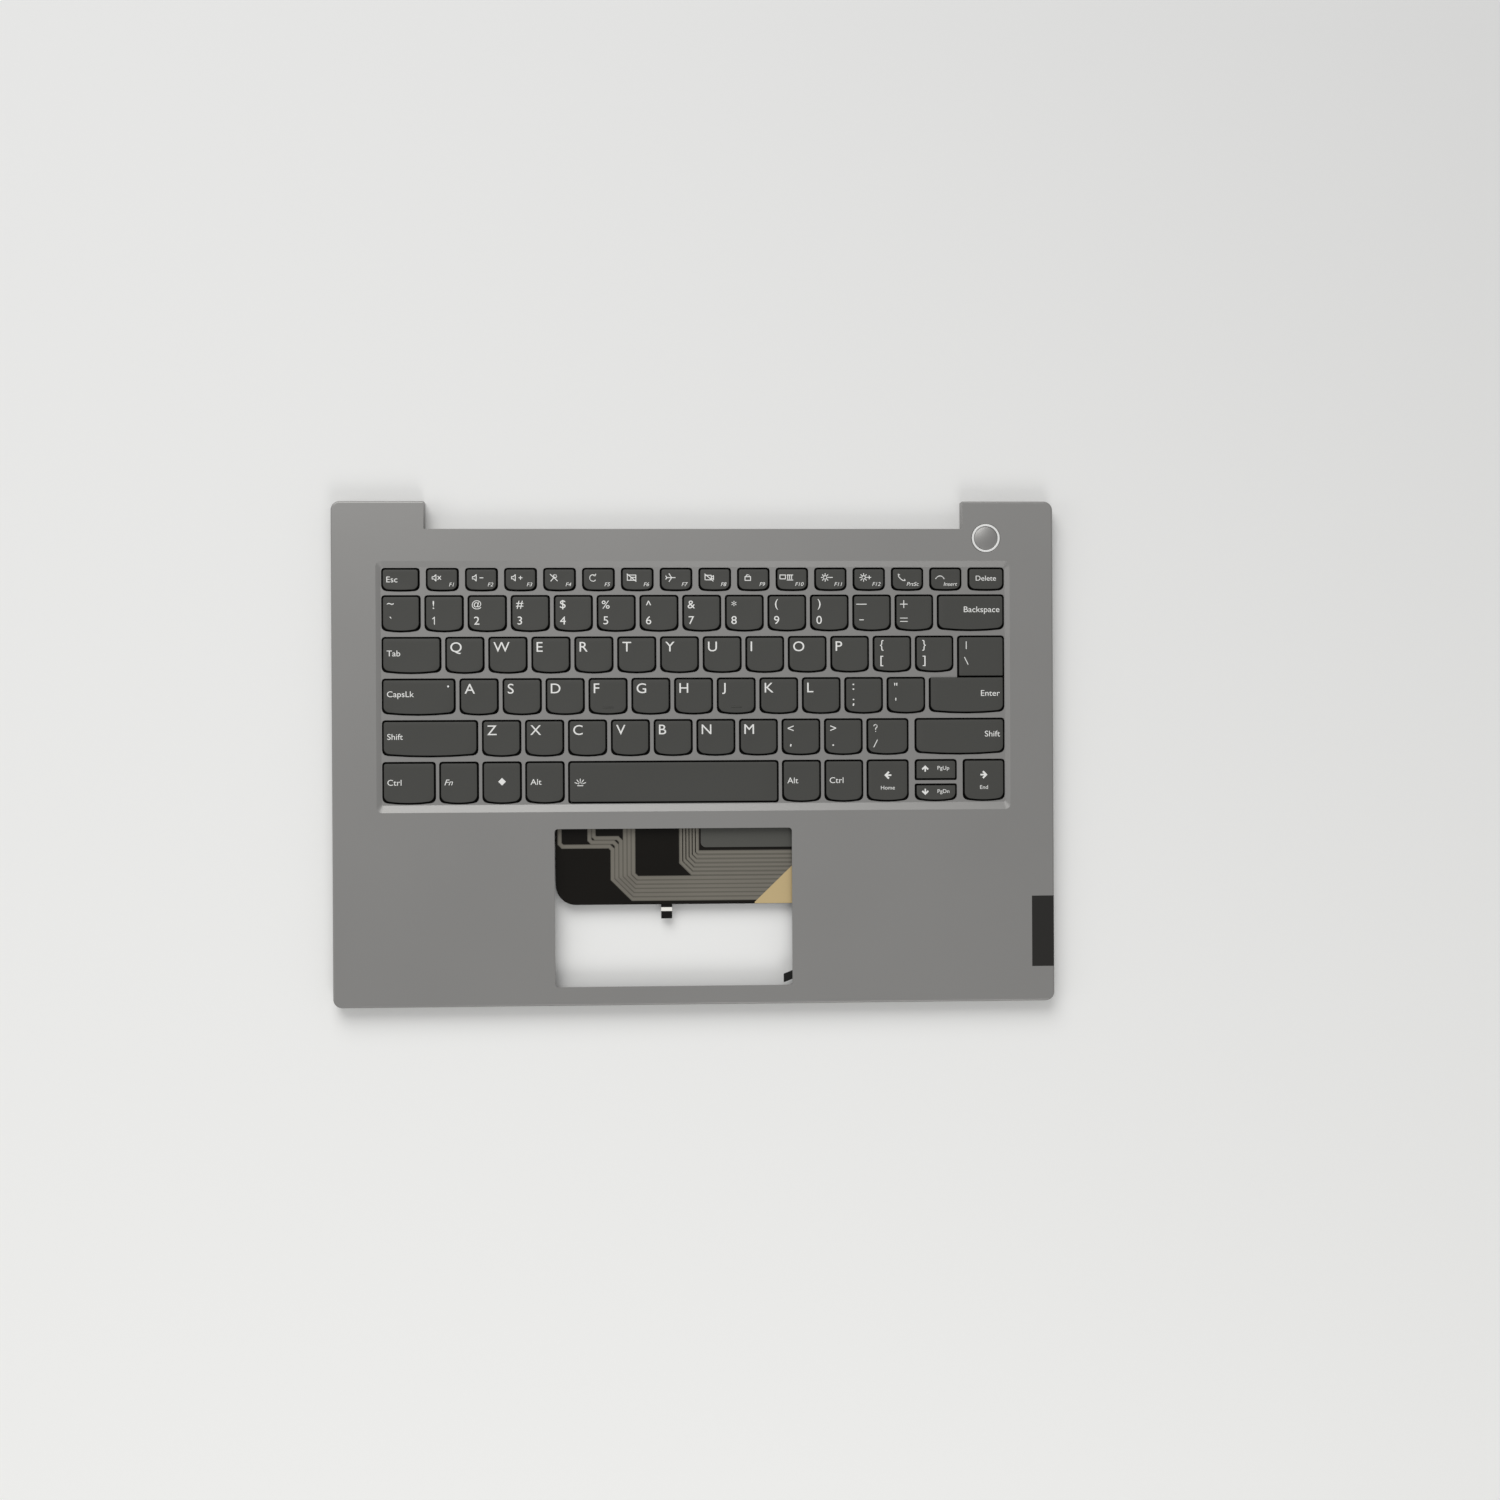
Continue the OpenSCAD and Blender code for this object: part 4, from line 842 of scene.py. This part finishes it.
def nearestKey(point):
    def distance(item):
        low, high = item[1]
        middle = (low + high) / 2
        outside = max(low.x - point.x, 0, point.x - high.x) + max(low.y - point.y, 0, point.y - high.y)
        return (outside, (middle - point).xy.length)
    return min(boxes.items(), key=distance)[0]


def buildMechanisms():
    meshes = {name: bmesh.new() for name in sprungKeys + ["joined"]}
    for groupName, material in groups.items():
        source = cadCopy(groupName)
        for part in looseParts(source):
            low, high = corners(part)
            name = nearestKey((low + high) / 2)
            target = meshes[name if name in sprungKeys else "joined"]
            copied = {v: target.verts.new(v.co) for v in {v for f in part for v in f.verts}}
            for face in part:
                copy = target.faces.new([copied[v] for v in face.verts])
                copy.material_index = mechanismMaterials.index(material)
        source.free()
    for name, bm in meshes.items():
        piece = finishPiece(bm, "mechanism_" + name, mechanismMaterials, smoothAngle=40, doubles=0,
                            recalc=False)
        shown(piece, "root", "link_plastic", *groups)
        if name != "joined":
            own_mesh(piece)


buildMechanisms()
print("mechanisms made")


# Power button, spun with a slight crown

button = {
    "crown": 0.5, "rise": 0.14, "rings": 8,      # the face bends down by the crown, from above the CAD's top
    "edge": 0.2, "edgeRound": 0.05, "edgeDrop": 0.12,
    "flange": 0.65, "flangeTop": 0.5, "stemRadius": 1.5, "stem": 0.3, "steps": 96,
}


def buildButton():
    low, high = boxOf("power_button")
    middle = (low + high) / 2
    flange = (high.x - low.x) / 2
    radius = flange - button["flange"]
    top, under = high.z, low.z + button["stem"]
    crown = [(radius - button["edge"]) * i / button["rings"] for i in range(button["rings"] + 1)]
    rim = top + button["rise"] - button["crown"]
    profile = [(r, top + button["rise"] - button["crown"] * (r / radius) ** 2) for r in crown]
    profile += [(radius - button["edgeRound"], rim), (radius, rim - button["edgeDrop"]),
                (radius, under + button["flangeTop"]), (flange, under + button["flangeTop"]),
                (flange, under), (button["stemRadius"], under), (button["stemRadius"], low.z), (0, low.z)]
    bm = bmesh.new()
    verts = [bm.verts.new((middle.x + r, middle.y, z)) for r, z in profile]
    edges = [bm.edges.new(pair) for pair in zip(verts, verts[1:])]
    bmesh.ops.spin(bm, geom=verts + edges, cent=(middle.x, middle.y, 0), axis=(0, 0, 1), dvec=(0, 0, 0),
                   angle=2 * math.pi, steps=button["steps"], use_merge=True, use_duplicate=False)
    piece = finishPiece(bm, "button_disc", [buttonMetal], smoothAngle=25, doubles=0.001)
    shown(piece, "power_button", "button_metal", "power_button")


buildButton()


# Foam pad in the opening: soft edges and a slightly swollen top

foam = {"edge": 0.3, "rise": 0.05, "rings": 3, "ringShare": 0.75, "fill": 0.9}


def buildFoam():
    bm = cadCopy("foam_pad")
    dissolveFlat(bm)
    bmesh.ops.bevel(bm, geom=list(bm.edges), offset=foam["edge"], offset_type="OFFSET", segments=4,
                    profile=0.5, affect="EDGES", material=-1)
    bm.normal_update()
    face = max((f for f in bm.faces if f.normal.z > 0.99), key=lambda f: f.calc_area())
    for i in range(foam["rings"]):
        face = ringIn(bm, face, (foam["ringShare"], foam["ringShare"]), foam["rise"] / (i + 1))
    pad = finishPiece(bm, "foam_block", [foamBlack], smoothAngle=60)
    shown(pad, "root", "foam_black", "foam_pad")


buildFoam()
print("button and foam made")


# Finish of the pieces that keep the frame's shape

def dress(name, material):
    obj = nodes[name]
    if not obj.data.materials:
        obj.data.materials.append(material)
    for slot in obj.material_slots:
        slot.link = "OBJECT"
        slot.material = material


for name, material in {
    "inner_frame": frameBlack, "threaded_inserts": insertBrass, "key_base_plate": plateSteel,
    "key_membrane": filmBlack, "light_guide": guideFilm, "light_guide_tail": tailFilm,
    "stabiliser_wires": wireSteel, "plate_stakes": frameBlack,
    "power_button_ring": ringMetal, "power_switch_board": boardGreen, "name_plate": plateBlack,
    "cable_cover_strip": stripGrey, "cable_tape": tapeBeige,
}.items():
    dress(name, material)
print("nodes dressed")


# Pale floor, soft lamps and the camera

studio = {
    "floorSize": 8.0, "floorNear": srgb(243, 243, 241), "floorFar": srgb(216, 216, 215),
    "floorBend": 0.33,      # painted shade: the floor darkens from the near colour to the far colour between this y and its opposite
    "world": 0.42,
}
lamps = {       # place, size and power
    "lamp_rear": ((-0.35, 1.1, 1.15), 1.3, 17.0),
    "lamp_front": ((0.2, -1.2, 1.15), 0.9, 6.0),
    "lamp_side": ((-1.3, -0.1, 1.0), 0.9, 2.0),
}


def buildFloor():
    bm = bmesh.new()
    bmesh.ops.create_grid(bm, x_segments=1, y_segments=1, size=studio["floorSize"] / 2 / mm)
    # painted shade: an even floor, coloured darker towards the far end where the light falls off
    tree = NodeTree("pale_floor_painted_shade")
    axis = tree.add("SeparateXYZ")
    tree.join(tree.place, axis.inputs["Vector"])
    ranged = tree.add("MapRange")
    ranged.inputs["From Min"].default_value = -studio["floorBend"]
    ranged.inputs["From Max"].default_value = studio["floorBend"]
    tree.join(axis.outputs["Y"], ranged.inputs["Value"])
    tree.join(tree.between(ranged.outputs["Result"], studio["floorNear"], studio["floorFar"], 0, 1),
              tree.shader.inputs["Base Color"])
    tree.shader.inputs["Roughness"].default_value = 0.9
    tree.shader.inputs["Specular IOR Level"].default_value = 0.1
    floor = finishPiece(bm, "floor", [tree.material])


def buildLamp(name, place, size, power):
    # a round lamp that faces the origin
    lamp = bpy.data.lights.new(name, "AREA")
    lamp.shape = "DISK"
    lamp.size = size
    lamp.energy = power
    obj = link(bpy.data.objects.new(name, lamp))
    obj.location = place
    obj.rotation_mode = "QUATERNION"
    obj.rotation_quaternion = (-Vector(place)).to_track_quat("-Z", "Y")


def buildWorld():
    world = bpy.data.worlds.new("studio")
    world.use_nodes = True
    background = world.node_tree.nodes["Background"]
    background.inputs["Color"].default_value = (1, 1, 1, 1)
    background.inputs["Strength"].default_value = studio["world"]
    bpy.context.scene.world = world


view = {"lens": 50, "sensor": 36, "place": (-23.3, 3.7, 938.0), "turn": (-0.0026, -0.0511, -0.0052)}


def buildCamera():
    # the turn is an axis times its angle
    camera = bpy.data.cameras.new("camera")
    camera.lens = view["lens"]
    camera.sensor_width = view["sensor"]
    obj = link(bpy.data.objects.new("camera", camera))
    obj.location = Vector(view["place"]) * mm
    turn = Vector(view["turn"])
    obj.rotation_mode = "QUATERNION"
    obj.rotation_quaternion = Quaternion(turn.normalized(), turn.length)
    bpy.context.scene.camera = obj


buildFloor()
for name, (place, size, power) in lamps.items():
    buildLamp(name, place, size, power)
buildWorld()
buildCamera()
bpy.context.scene.view_settings.view_transform = "Standard"
print("studio made")

bpy.context.view_layer.update()
